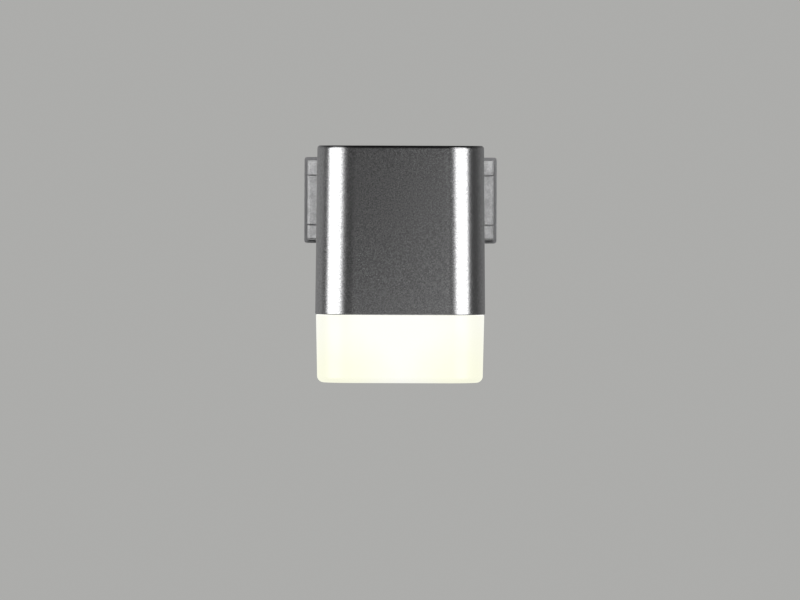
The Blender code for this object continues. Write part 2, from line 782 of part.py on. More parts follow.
def pinion(name, surface, body, centre_x):
    teeth = [(centre_x + x, z) for x, z in pinion_outline()]
    gear = make(
        name, surface, body, prism(teeth, "Y", -BASE_THICKNESS - GAP, PINION_FRONT)
    )
    cut(gear, drill(PINION_SEAT_RADIUS + GAP, "Y", (centre_x, 0), 0.0, 2 * PINION_FRONT))


def blade_contact(name, finishes, body, centre_x, side):
    """A copper clip over one end of the contact cam's lobe."""
    inner_x = CAM_LOBE_WIDTH / 2 + GAP
    outer_x = inner_x + BLADE_THICKNESS
    inside = BLADE_REACH - BLADE_TIP
    outline = [
        (-outer_x, BLADE_FOOT),
        (-inner_x, BLADE_FOOT),
        (-inner_x, inside),
        (inner_x, inside),
        (inner_x, BLADE_FOOT),
        (outer_x, BLADE_FOOT),
        (outer_x, BLADE_REACH - BLADE_CORNER),
        (outer_x - BLADE_CORNER, BLADE_REACH),
        (BLADE_CORNER - outer_x, BLADE_REACH),
        (-outer_x, BLADE_REACH - BLADE_CORNER),
    ]
    profile = [(centre_x + x, side * z) for x, z in outline]
    make(name, finishes["copper"], body, prism(profile, "Y", CAM_FRONT + GAP, CAM_BACK - GAP))


def cams(finishes, left, right):
    cam("locking_cam", finishes["zinc"], left, -CAM_X, CAM_LOBE_HALF)
    pinion("locking_cam_pinion", finishes["zinc"], left, -CAM_X)
    cam("contact_cam", finishes["white_plastic"], right, CAM_X, CONTACT_LOBE_HALF)
    pinion("contact_cam_pinion", finishes["white_plastic"], right, CAM_X)
    blade_contact("live_contact", finishes, right, CAM_X, 1)
    blade_contact("neutral_contact", finishes, right, CAM_X, -1)


# ---------------------------------------------------------------- swivel

def ring(name, surface, body, outer, inner, back, front, segments=24):
    stations = [(outer, back), (outer, front), (inner, front), (inner, back)]
    return make(name, surface, body, turned(stations, "Y", hollow=True, segments=segments))


def wave_washer(finishes, back):
    count = 36
    edges = (
        (WASHER_RADIUS, 0.0),
        (WASHER_RADIUS, -WAVE_THICKNESS),
        (CLEAR_RADIUS, -WAVE_THICKNESS),
        (CLEAR_RADIUS, 0.0),
    )
    rings = []
    for radius, offset in edges:
        points = []
        for step in range(count):
            angle = 2 * math.pi * step / count
            along = back - WAVE_RISE + WAVE_RISE * math.cos(3 * angle) + offset
            points.append(placed("Y", radius * math.cos(angle), radius * math.sin(angle), along))
        rings.append(points)
    make("wave_washer", finishes["steel"], None, (rings, True))


def stop_washer(finishes, back):
    """A washer whose tab, at the top, stops the head's pin after most of a turn."""
    count = 48

    def radius_at(angle):
        from_top = abs(angle - math.pi / 2)
        return STOP_TAB_RADIUS if from_top <= STOP_TAB_HALF_ANGLE + 1e-6 else WASHER_RADIUS

    outer = polar_outline(radius_at, count)
    inner = circle(CLEAR_RADIUS, count)
    front = back - STOP_WASHER_THICKNESS
    make("stop_washer", finishes["steel"], None, band(outer, inner, "Y", back, front))


def swivel_nut(finishes, back):
    count = 24

    def radius_at(angle):
        sixth = math.pi / 3
        return NUT_ACROSS_FLATS / 2 / math.cos((angle + sixth / 2) % sixth - sixth / 2)

    outer = polar_outline(radius_at, count)
    inner = circle(CLEAR_RADIUS, count)
    front = back - NUT_THICKNESS
    make("swivel_nut", finishes["zinc"], None, band(outer, inner, "Y", back, front))


def swivel(finishes):
    stem = [
        (STEM_FLANGE_RADIUS, STEM_FLANGE_BACK),
        (STEM_FLANGE_RADIUS, 0.0),
        (STEM_RADIUS, 0.0),
        (STEM_RADIUS, STEM_FRONT_Y + GAP),
        (STEM_RADIUS - GAP, STEM_FRONT_Y),
        (STEM_BORE, STEM_FRONT_Y),
        (STEM_BORE, STEM_FLANGE_BACK),
    ]
    make("threaded_stem", finishes["zinc"], None, turned(stem, "Y", hollow=True, segments=24))
    collar_back = FACE_Y - GAP
    ring(
        "swivel_collar", finishes["zinc"], None, COLLAR_RADIUS, CLEAR_RADIUS,
        collar_back, HEAD_REAR_Y + GAP, 36,
    )
    friction_back = REAR_WALL_INNER_Y - GAP
    friction_front = friction_back - FRICTION_THICKNESS
    ring(
        "friction_washer", finishes["fibre"], None, WASHER_RADIUS, CLEAR_RADIUS,
        friction_back, friction_front,
    )
    wave_back = friction_front - GAP
    wave_washer(finishes, wave_back)
    stop_back = wave_back - 2 * WAVE_RISE - WAVE_THICKNESS - GAP
    stop_washer(finishes, stop_back)
    swivel_nut(finishes, stop_back - STOP_WASHER_THICKNESS - GAP)


# ---------------------------------------------------------------- head shell and diffuser

def boss_centres():
    return [(x * BOSS_X, z * BOSS_Z) for x in (-1, 1) for z in (-1, 1)]


def head_shell(finishes, head):
    inner_top = HEAD_TOP_Z - HEAD_WALL
    rings = [
        head_ring(inner_top, HEAD_WALL + HEAD_EDGE / 2),
        head_ring(inner_top - HEAD_EDGE / 2, HEAD_WALL),
        head_ring(SEAM_Z, HEAD_WALL),
        head_ring(SEAM_Z, SEAM_CHAMFER),
        head_ring(SEAM_Z + SEAM_CHAMFER, 0.0),
    ]
    steps = 4
    for step in range(steps + 1):
        angle = step * math.pi / 2 / steps
        rise = HEAD_EDGE * (1 - math.sin(angle))
        rings.append(head_ring(HEAD_TOP_Z - rise, HEAD_EDGE * (1 - math.cos(angle))))
    shell = make("head_shell", finishes["satin_metal"], head, (rings, False))
    boss_root_y = HEAD_REAR_Y - BOSS_ROOT
    join(
        shell,
        *[drill(BOSS_RADIUS, "Y", centre, boss_root_y, BOSS_FRONT_Y) for centre in boss_centres()],
    )
    cut(
        shell,
        drill(CLEAR_RADIUS + STEM_HOLE_PLAY, "Y", (0, 0), 0.0, CHASSIS_Y),
        *[
            drill(BOSS_PILOT_RADIUS, "Y", centre, REAR_WALL_INNER_Y - BOSS_PILOT_START, CHASSIS_Y)
            for centre in boss_centres()
        ],
    )


def diffuser_cup(finishes, guide):
    floor_z = DIFFUSER_BOTTOM_Z + DIFFUSER_WALL
    inner_edge = DIFFUSER_INNER_EDGE
    mid_edge = inner_edge * (1 - math.sqrt(0.5))
    shoulder_z = DIFFUSER_TOP_Z - SHOULDER_DROP
    neck_inner = NECK_INSET + NECK_WALL
    rings = [
        diffuser_ring(floor_z, DIFFUSER_WALL + inner_edge),
        diffuser_ring(floor_z + mid_edge, DIFFUSER_WALL + mid_edge),
        diffuser_ring(floor_z + inner_edge, DIFFUSER_WALL),
        diffuser_ring(shoulder_z - SHOULDER_SLOPE, DIFFUSER_WALL),
        head_ring(shoulder_z, neck_inner),
        head_ring(NECK_TOP_Z, neck_inner),
        head_ring(NECK_TOP_Z, NECK_INSET),
        head_ring(DIFFUSER_TOP_Z, NECK_INSET),
        diffuser_ring(DIFFUSER_TOP_Z, 0.0),
    ]
    steps = 5
    for step in range(steps + 1):
        angle = step * math.pi / 2 / steps
        z = DIFFUSER_BOTTOM_Z + DIFFUSER_EDGE * (1 - math.sin(angle))
        rings.append(diffuser_ring(z, DIFFUSER_EDGE * (1 - math.cos(angle))))
    make("diffuser", finishes["opal"], guide, (rings, False))


def stop_pin(finishes, head):
    stations = [
        (STOP_PIN_RADIUS, REAR_WALL_INNER_Y - GAP),
        (STOP_PIN_RADIUS, STOP_PIN_FRONT_Y + STOP_PIN_CHAMFER),
        (STOP_PIN_RADIUS - STOP_PIN_CHAMFER, STOP_PIN_FRONT_Y),
    ]
    make("stop_pin", finishes["steel"], head, turned(stations, "Y", (0, -STOP_PIN_ORBIT)))


# ---------------------------------------------------------------- chassis and driver

def chassis_bracket(finishes, head):
    """Bent sheet: an upright leg on the shell's bosses and a shelf that carries the rest."""
    bend_centre = (CHASSIS_Y - SHEET_BEND, SHELF_Z - SHEET + SHEET_BEND)
    profile = [(CHASSIS_Y, LEG_TOP_Z), (CHASSIS_Y - SHEET, LEG_TOP_Z)]
    profile += arc(bend_centre, SHEET_BEND - SHEET, 0.0, -math.pi / 2, 3)
    profile += [(SHELF_FRONT_Y, SHELF_Z), (SHELF_FRONT_Y, SHELF_Z - SHEET)]
    profile += arc(bend_centre, SHEET_BEND, -math.pi / 2, 0.0, 4)
    bracket = make(
        "chassis_bracket", finishes["steel"], head, prism(profile, "X", -CHASSIS_HALF, CHASSIS_HALF)
    )
    leg = (CHASSIS_Y + OVERSHOOT, CHASSIS_Y - SHEET - OVERSHOOT)
    shelf = (SHELF_Z + OVERSHOOT, SHELF_Z - SHEET - OVERSHOOT)
    cut(
        bracket,
        drill(LEG_OPENING, "Y", (0, 0), *leg),
        *[drill(CHASSIS_SCREW_HOLE, "Y", centre, *leg) for centre in boss_centres()],
        *[drill(ENGINE_SCREW_HOLE, "Z", centre, *shelf) for centre in engine_screw_centres()],
    )


def chassis_screws(finishes, head):
    """Four screws into the shell's bosses; the first also holds the earth lug."""
    for number, centre in enumerate(boss_centres(), 1):
        lug = LUG_THICKNESS + GAP if number == 1 else 0.0
        seat = CHASSIS_Y - SHEET - GAP - lug
        screw(
            f"chassis_screw_{number}", finishes["steel"], head, "Y", centre,
            tip=REAR_WALL_INNER_Y - CHASSIS_SCREW_START, seat=seat, top=seat - CHASSIS_SCREW_HEIGHT,
            shank_radius=CHASSIS_SCREW_SHANK, head_radius=CHASSIS_SCREW_HEAD,
        )


def earth_connection(finishes, head):
    lug_x, lug_z = boss_centres()[0]
    back = CHASSIS_Y - SHEET - GAP
    front = back - LUG_THICKNESS
    eye = rounded_rectangle(LUG_HALF, LUG_HALF, LUG_CORNER, (lug_x, lug_z), 4)
    lug = make("earth_lug", finishes["brass"], head, prism(eye, "Y", back, front))
    tail = box(
        (lug_x + LUG_TAIL_ROOT, front, lug_z - LUG_TAIL_HALF),
        (lug_x + LUG_TAIL_END, back, lug_z + LUG_TAIL_HALF),
    )
    join(lug, tail)
    cut(lug, drill(CHASSIS_SCREW_HOLE, "Y", (lug_x, lug_z), 0.0, 2 * back))
    lead(
        "earth_lead", finishes["green_lead"], head,
        [
            (lug_x + 5.0 * MM, front - EARTH_WIRE_RADIUS - GAP, lug_z),
            (-12.5 * MM, -19.0 * MM, -12.5 * MM),
            (-8.0 * MM, -22.5 * MM, -9.5 * MM),
            (-5.0 * MM, -25.5 * MM, -5.5 * MM),
            (-4.5 * MM, -29.2 * MM, -4.5 * MM),
        ],
        EARTH_WIRE_RADIUS,
    )


def driver_case(finishes, head):
    floor_z = SHELF_Z + GAP
    middle_y = (TRAY_REAR_Y + TRAY_FRONT_Y) / 2
    half_depth = (TRAY_REAR_Y - TRAY_FRONT_Y) / 2
    inside = (TRAY_HALF - TRAY_WALL, half_depth - TRAY_WALL)
    tray = make(
        "driver_tray", finishes["white_plastic"], head,
        prism(rounded_rectangle(TRAY_HALF, half_depth, TRAY_CORNER, (0, middle_y)), "Z",
              floor_z, TRAY_TOP_Z),
    )
    cut(
        tray,
        prism(rounded_rectangle(*inside, TRAY_INNER_CORNER, (0, middle_y)), "Z",
              floor_z + TRAY_WALL, TRAY_TOP_Z + OVERSHOOT),
    )
    cable_notch = box(
        (-CABLE_NOTCH_HALF, TRAY_REAR_Y - 2 * TRAY_WALL, CABLE_NOTCH_BOTTOM_Z),
        (CABLE_NOTCH_HALF, TRAY_REAR_Y + OVERSHOOT, CABLE_NOTCH_TOP_Z),
    )
    lead_notch = box(
        (LEAD_NOTCH_LEFT, TRAY_FRONT_Y - OVERSHOOT, DRIVER_PARTS_Z),
        (LEAD_NOTCH_RIGHT, TRAY_FRONT_Y + 2 * TRAY_WALL, DRIVER_PARTS_Z + LEAD_NOTCH_HEIGHT),
    )
    cut(tray, cable_notch, lead_notch)
    lid_z = TRAY_TOP_Z + GAP
    make(
        "driver_lid", finishes["white_plastic"], head,
        prism(rounded_rectangle(TRAY_HALF, half_depth, TRAY_CORNER, (0, middle_y)), "Z",
              lid_z, lid_z + TRAY_WALL),
    )
    make(
        "driver_board", finishes["circuit_board"], head,
        box((-DRIVER_BOARD_HALF, DRIVER_BOARD_FRONT_Y, DRIVER_BOARD_Z),
            (DRIVER_BOARD_HALF, DRIVER_BOARD_REAR_Y, DRIVER_BOARD_Z + BOARD_THICKNESS)),
    )


def transformer(finishes, head):
    """A ferrite core with two windows, and a coil around its middle leg."""
    top_z = DRIVER_PARTS_Z + CORE_HEIGHT
    core = make(
        "transformer_core", finishes["ferrite"], head,
        box((CORE_X - CORE_HALF_WIDTH, CORE_Y - CORE_HALF_DEPTH, DRIVER_PARTS_Z),
            (CORE_X + CORE_HALF_WIDTH, CORE_Y + CORE_HALF_DEPTH, top_z)),
    )
    window = CORE_HALF_WIDTH - CORE_YOKE
    for left, right in ((-window, -CORE_LEG_HALF), (CORE_LEG_HALF, window)):
        opening = box(
            (CORE_X + left, CORE_Y - 2 * CORE_HALF_DEPTH, DRIVER_PARTS_Z + CORE_YOKE),
            (CORE_X + right, CORE_Y + 2 * CORE_HALF_DEPTH, top_z - CORE_YOKE),
        )
        cut(core, opening)
    middle = (CORE_X, CORE_Y)
    inner = rounded_rectangle(CORE_LEG_HALF + GAP, CORE_HALF_DEPTH + GAP, BOBBIN_CORNER, middle)
    outer = rounded_rectangle(
        CORE_LEG_HALF + WINDING, CORE_HALF_DEPTH + WINDING, WINDING_CORNER, middle
    )
    make(
        "transformer_coil", finishes["coil_tape"], head,
        band(outer, inner, "Z", DRIVER_PARTS_Z + CORE_YOKE + GAP, top_z - CORE_YOKE - GAP),
    )


def standing_can(name, surface, head, centre, radius, height):
    """A capacitor or choke: a drum with a rounded top, a rolled groove near its foot."""
    groove_z = DRIVER_PARTS_Z + CAN_GROOVE_HEIGHT
    top_z = DRIVER_PARTS_Z + height
    stations = [
        (radius, DRIVER_PARTS_Z),
        (radius, groove_z - CAN_GROOVE_HALF),
        (radius - CAN_EDGE / 2, groove_z),
        (radius, groove_z + CAN_GROOVE_HALF),
        (radius, top_z - CAN_EDGE),
        (radius - CAN_EDGE, top_z),
    ]
    make(name, surface, head, turned(stations, "Z", centre, segments=18))


def terminal_block(finishes, head):
    """Three poles side by side, each with a screw well in its top."""
    top_z = DRIVER_PARTS_Z + TERMINAL_HEIGHT
    body = box((-TERMINAL_HALF, TERMINAL_FRONT_Y, DRIVER_PARTS_Z), (TERMINAL_HALF, TERMINAL_REAR_Y, top_z))
    block = make("terminal_block", finishes["white_plastic"], head, body)
    centres = [(pole * POLE_PITCH, POLE_Y) for pole in (-1, 0, 1)]
    depth = (top_z - POLE_DEPTH, top_z + OVERSHOOT)
    cut(block, *[drill(POLE_RADIUS, "Z", centre, *depth) for centre in centres])


def driver_parts(finishes, head):
    transformer(finishes, head)
    terminal_block(finishes, head)
    for name, surface, x, y, radius, height in (
        ("input_capacitor", "ferrite", 12.0, -43.0, 5.0, 16.0),
        ("output_capacitor", "ferrite", 12.0, -56.0, 4.0, 13.0),
        ("choke", "copper", -1.5, -59.0, 3.4, 8.0),
    ):
        standing_can(name, finishes[surface], head, (x * MM, y * MM), radius * MM, height * MM)
    lead(
        "mains_cable", finishes["grey_sheath"], head,
        [
            (0, STEM_FRONT_Y - GAP, 0),
            (0, -22.5 * MM, -0.6 * MM),
            (0, -26.0 * MM, -3.6 * MM),
            (0, -29.2 * MM, -4.5 * MM),
        ],
        CABLE_RADIUS,
    )


# ---------------------------------------------------------------- light engine

def engine_screw_centres():
    return [
        (x * ENGINE_SCREW_X, ENGINE_Y + y * ENGINE_SCREW_Y) for x in (-1, 1) for y in (-1, 1)
    ]


def heat_sink(finishes, head):
    fin_top = SHELF_Z - SHEET - GAP
    base_top = SINK_BOTTOM_Z + SINK_BASE
    half = FIN_PAIRS * FIN_PITCH + FIN_THICKNESS / 2
    profile = [(half, SINK_BOTTOM_Z)]
    for fin in range(FIN_PAIRS, -FIN_PAIRS - 1, -1):
        middle = fin * FIN_PITCH
        profile += [
            (middle + FIN_THICKNESS / 2, base_top),
            (middle + FIN_THICKNESS / 2, fin_top),
            (middle - FIN_THICKNESS / 2, fin_top),
            (middle - FIN_THICKNESS / 2, base_top),
        ]
    profile.append((-half, SINK_BOTTOM_Z))
    sink = make(
        "heat_sink", finishes["aluminium"], head,
        prism(profile, "Y", ENGINE_Y + ENGINE_HALF, ENGINE_Y - ENGINE_HALF),
    )
    cut(
        sink,
        *[
            drill(ENGINE_SCREW_HOLE, "Z", centre, SINK_BOTTOM_Z - OVERSHOOT, base_top + OVERSHOOT)
            for centre in engine_screw_centres()
        ],
    )


def drilled_square(name, surface, head, top, thickness, corner):
    outline = rounded_rectangle(BOARD_HALF, BOARD_HALF, corner, (0, ENGINE_Y))
    plate = make(name, surface, head, prism(outline, "Z", top, top - thickness))
    cut(
        plate,
        *[
            drill(ENGINE_SCREW_HOLE, "Z", centre, top + OVERSHOOT, top - thickness - OVERSHOOT)
            for centre in engine_screw_centres()
        ],
    )


def light_engine(finishes, head):
    heat_sink(finishes, head)
    drilled_square(
        "thermal_pad", finishes["thermal_pad"], head, PAD_TOP_Z, PAD_THICKNESS, PAD_CORNER
    )
    drilled_square(
        "led_board", finishes["white_board"], head, BOARD_TOP_Z, BOARD_THICKNESS, BOARD_CORNER
    )
    led_emitters(finishes, head)
    seat = BOARD_BOTTOM_Z - GAP
    for number, centre in enumerate(engine_screw_centres(), 1):
        screw(
            f"engine_screw_{number}", finishes["steel"], head, "Z", centre,
            tip=SHELF_Z - GAP, seat=seat, top=seat - ENGINE_SCREW_HEIGHT,
            shank_radius=ENGINE_SCREW_SHANK, head_radius=ENGINE_SCREW_HEAD,
        )


def led_emitters(finishes, head):
    """Four round packages, each with a dome pointing down."""
    top_z = BOARD_BOTTOM_Z - GAP
    rim_z = top_z - EMITTER_RIM
    stations = [(EMITTER_RADIUS, top_z), (EMITTER_RADIUS, rim_z)]
    for angle in (math.radians(step) for step in (0, 35, 70)):
        stations.append((DOME_RADIUS * math.cos(angle), rim_z - DOME_HEIGHT * math.sin(angle)))
    quarters = [(x * EMITTER_OFFSET, y * EMITTER_OFFSET) for x in (-1, 1) for y in (-1, 1)]
    for number, (x, y) in enumerate(quarters, 1):
        make(
            f"led_emitter_{number}", finishes["emitter"], head,
            turned(stations, "Z", (x, ENGINE_Y + y), segments=16),
        )


def reflector(finishes, head):
    """A square funnel around the emitters."""
    top_z = BOARD_BOTTOM_Z - GAP
    bottom_z = top_z - REFLECTOR_DEPTH
    rings = []
    for half, z in (
        (REFLECTOR_TOP_HALF, top_z),
        (REFLECTOR_BOTTOM_HALF, bottom_z),
        (REFLECTOR_BOTTOM_HALF - REFLECTOR_WALL, bottom_z),
        (REFLECTOR_TOP_HALF - REFLECTOR_WALL, top_z),
    ):
        outline = rounded_rectangle(half, half, REFLECTOR_CORNER, (0, ENGINE_Y), 4)
        rings.append([placed("Z", x, y, z) for x, y in outline])
    make("reflector", finishes["white_plastic"], head, (rings, True))


def diffuser_clip(name, surface, head, turn, reach):
    """A sprung leaf under the heat sink that grips the inside of the diffuser's neck."""
    top = SINK_BOTTOM_Z - GAP
    outer = reach - GAP
    inner = outer - CLIP_THICKNESS
    curl_z = CLIP_TIP_Z + 2 * CLIP_CURL
    profile = [
        (CLIP_FOOT, top),
        (outer, top),
        (outer, curl_z),
        (outer - CLIP_CURL, CLIP_TIP_Z),
        (inner - CLIP_CURL, CLIP_TIP_Z),
        (inner, curl_z),
        (inner, top - CLIP_THICKNESS),
        (CLIP_FOOT, top - CLIP_THICKNESS),
    ]
    rings = []
    for across in (-CLIP_HALF, CLIP_HALF):
        points = []
        for out, z in profile:
            x = out * math.cos(turn) - across * math.sin(turn)
            y = out * math.sin(turn) + across * math.cos(turn)
            points.append(Vector((x, ENGINE_Y + y, z)))
        rings.append(points)
    make(name, surface, head, (rings, False))


def diffuser_clips(finishes, head):
    neck = head_outline(NECK_TOP_Z, NECK_INSET + NECK_WALL)
    right = max(x for x, _ in neck)
    front = min(y for _, y in neck)
    rear = max(y for _, y in neck)
    for name, turn, reach in (
        ("diffuser_clip_right", 0.0, right),
        ("diffuser_clip_rear", math.pi / 2, rear - ENGINE_Y),
        ("diffuser_clip_left", math.pi, right),
        ("diffuser_clip_front", -math.pi / 2, ENGINE_Y - front),
    ):
        diffuser_clip(name, finishes["steel"], head, turn, reach)


def led_leads(finishes, head):
    """From the driver board out through the tray, down past the shelf and to the LED board."""
    start_z = DRIVER_PARTS_Z + LEAD_START_HEIGHT
    end_z = BOARD_TOP_Z - BOARD_THICKNESS / 2
    for name, surface, x in (
        ("led_lead_positive", "red_lead", POSITIVE_X),
        ("led_lead_negative", "black_lead", NEGATIVE_X),
    ):
        lead(
            name, finishes[surface], head,
            [
                (x, -61.5 * MM, start_z),
                (x, -65.0 * MM, start_z),
                (x, -67.5 * MM, start_z - 3.0 * MM),
                (x, -68.0 * MM, -20.0 * MM),
                (x, -67.9 * MM, -30.0 * MM),
                (x, -67.2 * MM, -36.5 * MM),
                (x, ENGINE_Y - BOARD_HALF - GAP, end_z),
            ],
            LEAD_RADIUS,
        )


def main():
    clear_scene()
    finishes = make_finishes()
    head = joint_empty("head_swivel", (0, 0, 0))
    slide = joint_empty("lock_slide", (0, 0, 0))
    left = joint_empty("locking_cam_turn", (-CAM_X, 0, 0))
    right = joint_empty("contact_cam_turn", (CAM_X, 0, 0))
    guide = joint_empty("diffuser_pull", (0, ENGINE_Y, SEAM_Z))

    adapter_housing(finishes)
    tongue_frame(finishes)
    tongue_cap(finishes)
    tongue_screws(finishes)
    earth_contact(finishes)
    supply_cable(finishes)
    locking_slide(finishes, slide)
    cams(finishes, left, right)
    swivel(finishes)
    head_shell(finishes, head)
    stop_pin(finishes, head)
    chassis_bracket(finishes, head)
    chassis_screws(finishes, head)
    earth_connection(finishes, head)
    driver_case(finishes, head)
    driver_parts(finishes, head)
    light_engine(finishes, head)
    reflector(finishes, head)
    diffuser_clips(finishes, head)
    led_leads(finishes, head)
    diffuser_cup(finishes, guide)


main()
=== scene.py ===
"""The looks of the track spotlight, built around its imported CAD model.

Lengths are in metres, in the CAD model's own frame: +Z up, X along the track and +Y into it.
The outer shell, the diffuser and the round parts are remade here with finer surfaces.
The other parts keep their CAD solids, with softened edges and their real materials.
"""

import json
import math

import bmesh
import bpy
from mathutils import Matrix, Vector

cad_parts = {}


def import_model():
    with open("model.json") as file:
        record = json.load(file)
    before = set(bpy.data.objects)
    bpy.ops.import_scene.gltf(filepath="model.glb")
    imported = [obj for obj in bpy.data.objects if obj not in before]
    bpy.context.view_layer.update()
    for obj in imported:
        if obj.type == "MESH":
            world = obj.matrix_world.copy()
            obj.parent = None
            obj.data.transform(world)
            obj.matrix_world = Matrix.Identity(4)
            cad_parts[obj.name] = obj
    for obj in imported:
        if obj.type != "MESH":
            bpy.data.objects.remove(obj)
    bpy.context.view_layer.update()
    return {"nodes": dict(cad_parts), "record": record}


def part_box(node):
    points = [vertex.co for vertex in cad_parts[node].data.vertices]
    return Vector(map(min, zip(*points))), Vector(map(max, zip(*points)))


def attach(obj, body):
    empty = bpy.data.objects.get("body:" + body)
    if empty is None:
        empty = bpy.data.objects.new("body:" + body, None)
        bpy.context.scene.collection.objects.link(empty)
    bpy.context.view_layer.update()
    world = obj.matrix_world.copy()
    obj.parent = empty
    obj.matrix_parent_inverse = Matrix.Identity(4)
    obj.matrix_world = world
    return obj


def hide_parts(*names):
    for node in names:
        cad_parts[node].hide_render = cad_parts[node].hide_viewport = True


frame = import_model()

MM = 0.001

# Camera: almost level with the head's top, far away, and pitched down a little.
CAMERA_DISTANCE = 3.5
CAMERA_X = -0.27 * MM
CAMERA_Z = 20.0 * MM
HEAD_SIDE_Y = -57.6 * MM
FRAME_WIDTH_AT_HEAD = 308.1 * MM
SENSOR_WIDTH = 36.0
AIM_Z = -39.05 * MM
CAMERA_ROLL = math.radians(-0.2)

# Studio: what the object's surfaces see, and what the camera sees behind it.
BACKDROP = (0.415, 0.415, 0.405)
FLOOR_Z = -0.6
FLOOR_RADIUS = 8.0
FLOOR_SIDES = 64
FLOOR_GLOW = 0.32
OBJECT_CENTRE = Vector((0.0, -40 * MM, -20 * MM))
SOFTBOX_DISTANCE = 1.6
WORLD_FRONT = 0.06
WORLD_LEFT = 0.28
WORLD_RIGHT = 0.22
WORLD_TOP_SHARE = 0.10

# Edges and holes that several pieces share.
EDGE_STEPS = 8
RING_SIDES = 96
RIM_CHAMFER = 0.2 * MM
BORE_CHAMFER = 0.3 * MM
SOFT_EDGE = 0.12 * MM
DRILL_OVERRUN = 1.0 * MM

# Head shell.
HEAD_DRAFT = 1.3 * MM
HEAD_CORNER = 15.0 * MM
HEAD_WALL = 2.0 * MM
HEAD_EDGE = 1.2 * MM
MOUTH_CHAMFER = 0.3 * MM
CORNER_STEPS = 24
STEM_HOLE_RADIUS = 5.5 * MM
BOSS_RADIUS = 3.0 * MM
BOSS_ROOT = 1.4 * MM
BOSS_FLOOR = 0.4 * MM
BOSS_FRONT_Y = -12.2 * MM
BOSS_PILOT_RADIUS = 1.5 * MM

# Screws by family: body, axis, +1 where the head faces up that axis, shank radius and head height.
SCREWS = {
    "tongue_screw": ("adapter", "Y", 1, 0.95 * MM, 0.9 * MM),
    "chassis_screw": ("head", "Y", -1, 1.2 * MM, 1.6 * MM),
    "engine_screw": ("head", "Z", -1, 1.15 * MM, 1.4 * MM),
}
THREAD_PITCH = 0.6 * MM
THREAD_DEPTH = 0.16 * MM
SCREW_POINT = 0.5 * MM
SCREW_RELIEF = 0.1 * MM

# Adapter: front face of its base flange, and the painted shade that darkens the flange in place of the
# shadow around the adapter's base.
FLANGE_Y = -1.5 * MM
FLANGE_PAINTED_SHADE = (0.24, 0.24, 0.245, 1)

# Swivel stack, cams and the tongue's cap.
STEM_RADIUS = 5.0 * MM
STEM_BORE = 3.2 * MM
CLEAR_RADIUS = 5.3 * MM
STEM_THREAD_PITCH = 1.0 * MM
STEM_THREAD_DEPTH = 0.35 * MM
STEM_FLANGE_BACK = 1.6 * MM
STEM_LEAD_IN = 0.5 * MM
STEM_MOUTH_CHAMFER = 0.6 * MM
WAVE_HEIGHT = 0.35 * MM
WASHER_EDGE = 0.08 * MM
NUT_FLATS = 15.0 * MM
NUT_CHAMFER = 0.7 * MM
CAM_LOBE_WIDTH = 6.0 * MM
CAM_EDGE = 0.5 * MM
CAM_FRONT = 3.3 * MM
CAM_BACK = 7.7 * MM
CAM_SHAFT_BACK = 4.3 * MM
CAM_SHAFT_RADIUS = 3.0 * MM
CAM_TAIL_RADIUS = 2.0 * MM
BEARING_GAP = 0.3 * MM
PINION_SEAT_RADIUS = 1.7 * MM
PLATE_BACK = -1.5 * MM
CAP_HOLE = 1.25 * MM
CAP_COUNTERBORE = 2.1 * MM
CAP_COUNTERBORE_DEPTH = 1.2 * MM
CAP_CORNER = 1.0 * MM
CAP_EDGE = 0.5 * MM

# Diffuser.
DIFFUSER_INSET = 0.35 * MM
DIFFUSER_TAPER = 0.55 * MM
DIFFUSER_WALL = 2.6 * MM
DIFFUSER_EDGE = 2.4 * MM
DIFFUSER_INNER_EDGE = 1.6 * MM
DIFFUSER_DOME = 0.2 * MM
DIFFUSER_SEAM = 0.3 * MM
SHOULDER_DEPTH = 1.4 * MM
NECK_INSET = HEAD_WALL + 0.4 * MM
NECK_WALL = 1.8 * MM

# Parts of the light engine and the driver.
EMITTER_RIM = 0.9 * MM
CAN_GROOVE_RISE = 1.7 * MM
CAN_GROOVE_DEPTH = 0.35 * MM
CAN_GROOVE_HALF = 0.5 * MM
CAN_FOOT_CHAMFER = 0.3 * MM
CAN_EDGE = 0.6 * MM
SLEEVE_LAP = 1.0 * MM
SLEEVE_THICKNESS = 0.15 * MM
VENT_HALF_WIDTH = 0.12 * MM
VENT_DEPTH = 0.3 * MM
CHOKE_FLANGE = 0.9 * MM
CHOKE_WIRE = 0.5 * MM
CHOKE_SINK = 0.6 * MM

CABLES = ("supply_cable", "mains_cable", "earth_lead", "led_lead_positive", "led_lead_negative")
SMOOTH_ANGLE = math.radians(35)
WELD_DISTANCE = 0.005 * MM


# ---------------------------------------------------------------- frame

def head_planes():
    """The shell's rear face, its top and its seam with the diffuser."""
    low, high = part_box("head_shell")
    return high.y, high.z, low.z


def centreline(node, axis):
    """The two coordinates, across an axis, of the middle of a CAD node's box."""
    low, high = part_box(node)
    middle = (low + high) / 2
    if axis == "Y":
        return middle.x, middle.z
    return middle.x, middle.y


def box_radius(node):
    """Half the width of a CAD node's box along X, which is a round part's radius."""
    low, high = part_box(node)
    return (high.x - low.x) / 2


# ---------------------------------------------------------------- outlines and meshes

def arc(centre, radius, start, end, steps):
    """Points along an arc, with both of its ends."""
    points = []
    for step in range(steps + 1):
        angle = start + (end - start) * step / steps
        points.append((centre[0] + radius * math.cos(angle), centre[1] + radius * math.sin(angle)))
    return points


def circle(centre, radius, count):
    """Points all the way round, with no point twice."""
    return arc(centre, radius, 0.0, 2 * math.pi * (count - 1) / count, count - 1)


def quarter_round(radius, steps):
    """Offsets of a rounded edge: the first falls from the radius to 0 as the second grows to it."""
    angles = [step * math.pi / 2 / steps for step in range(steps + 1)]
    return [(radius * (1 - math.sin(angle)), radius * (1 - math.cos(angle))) for angle in angles]


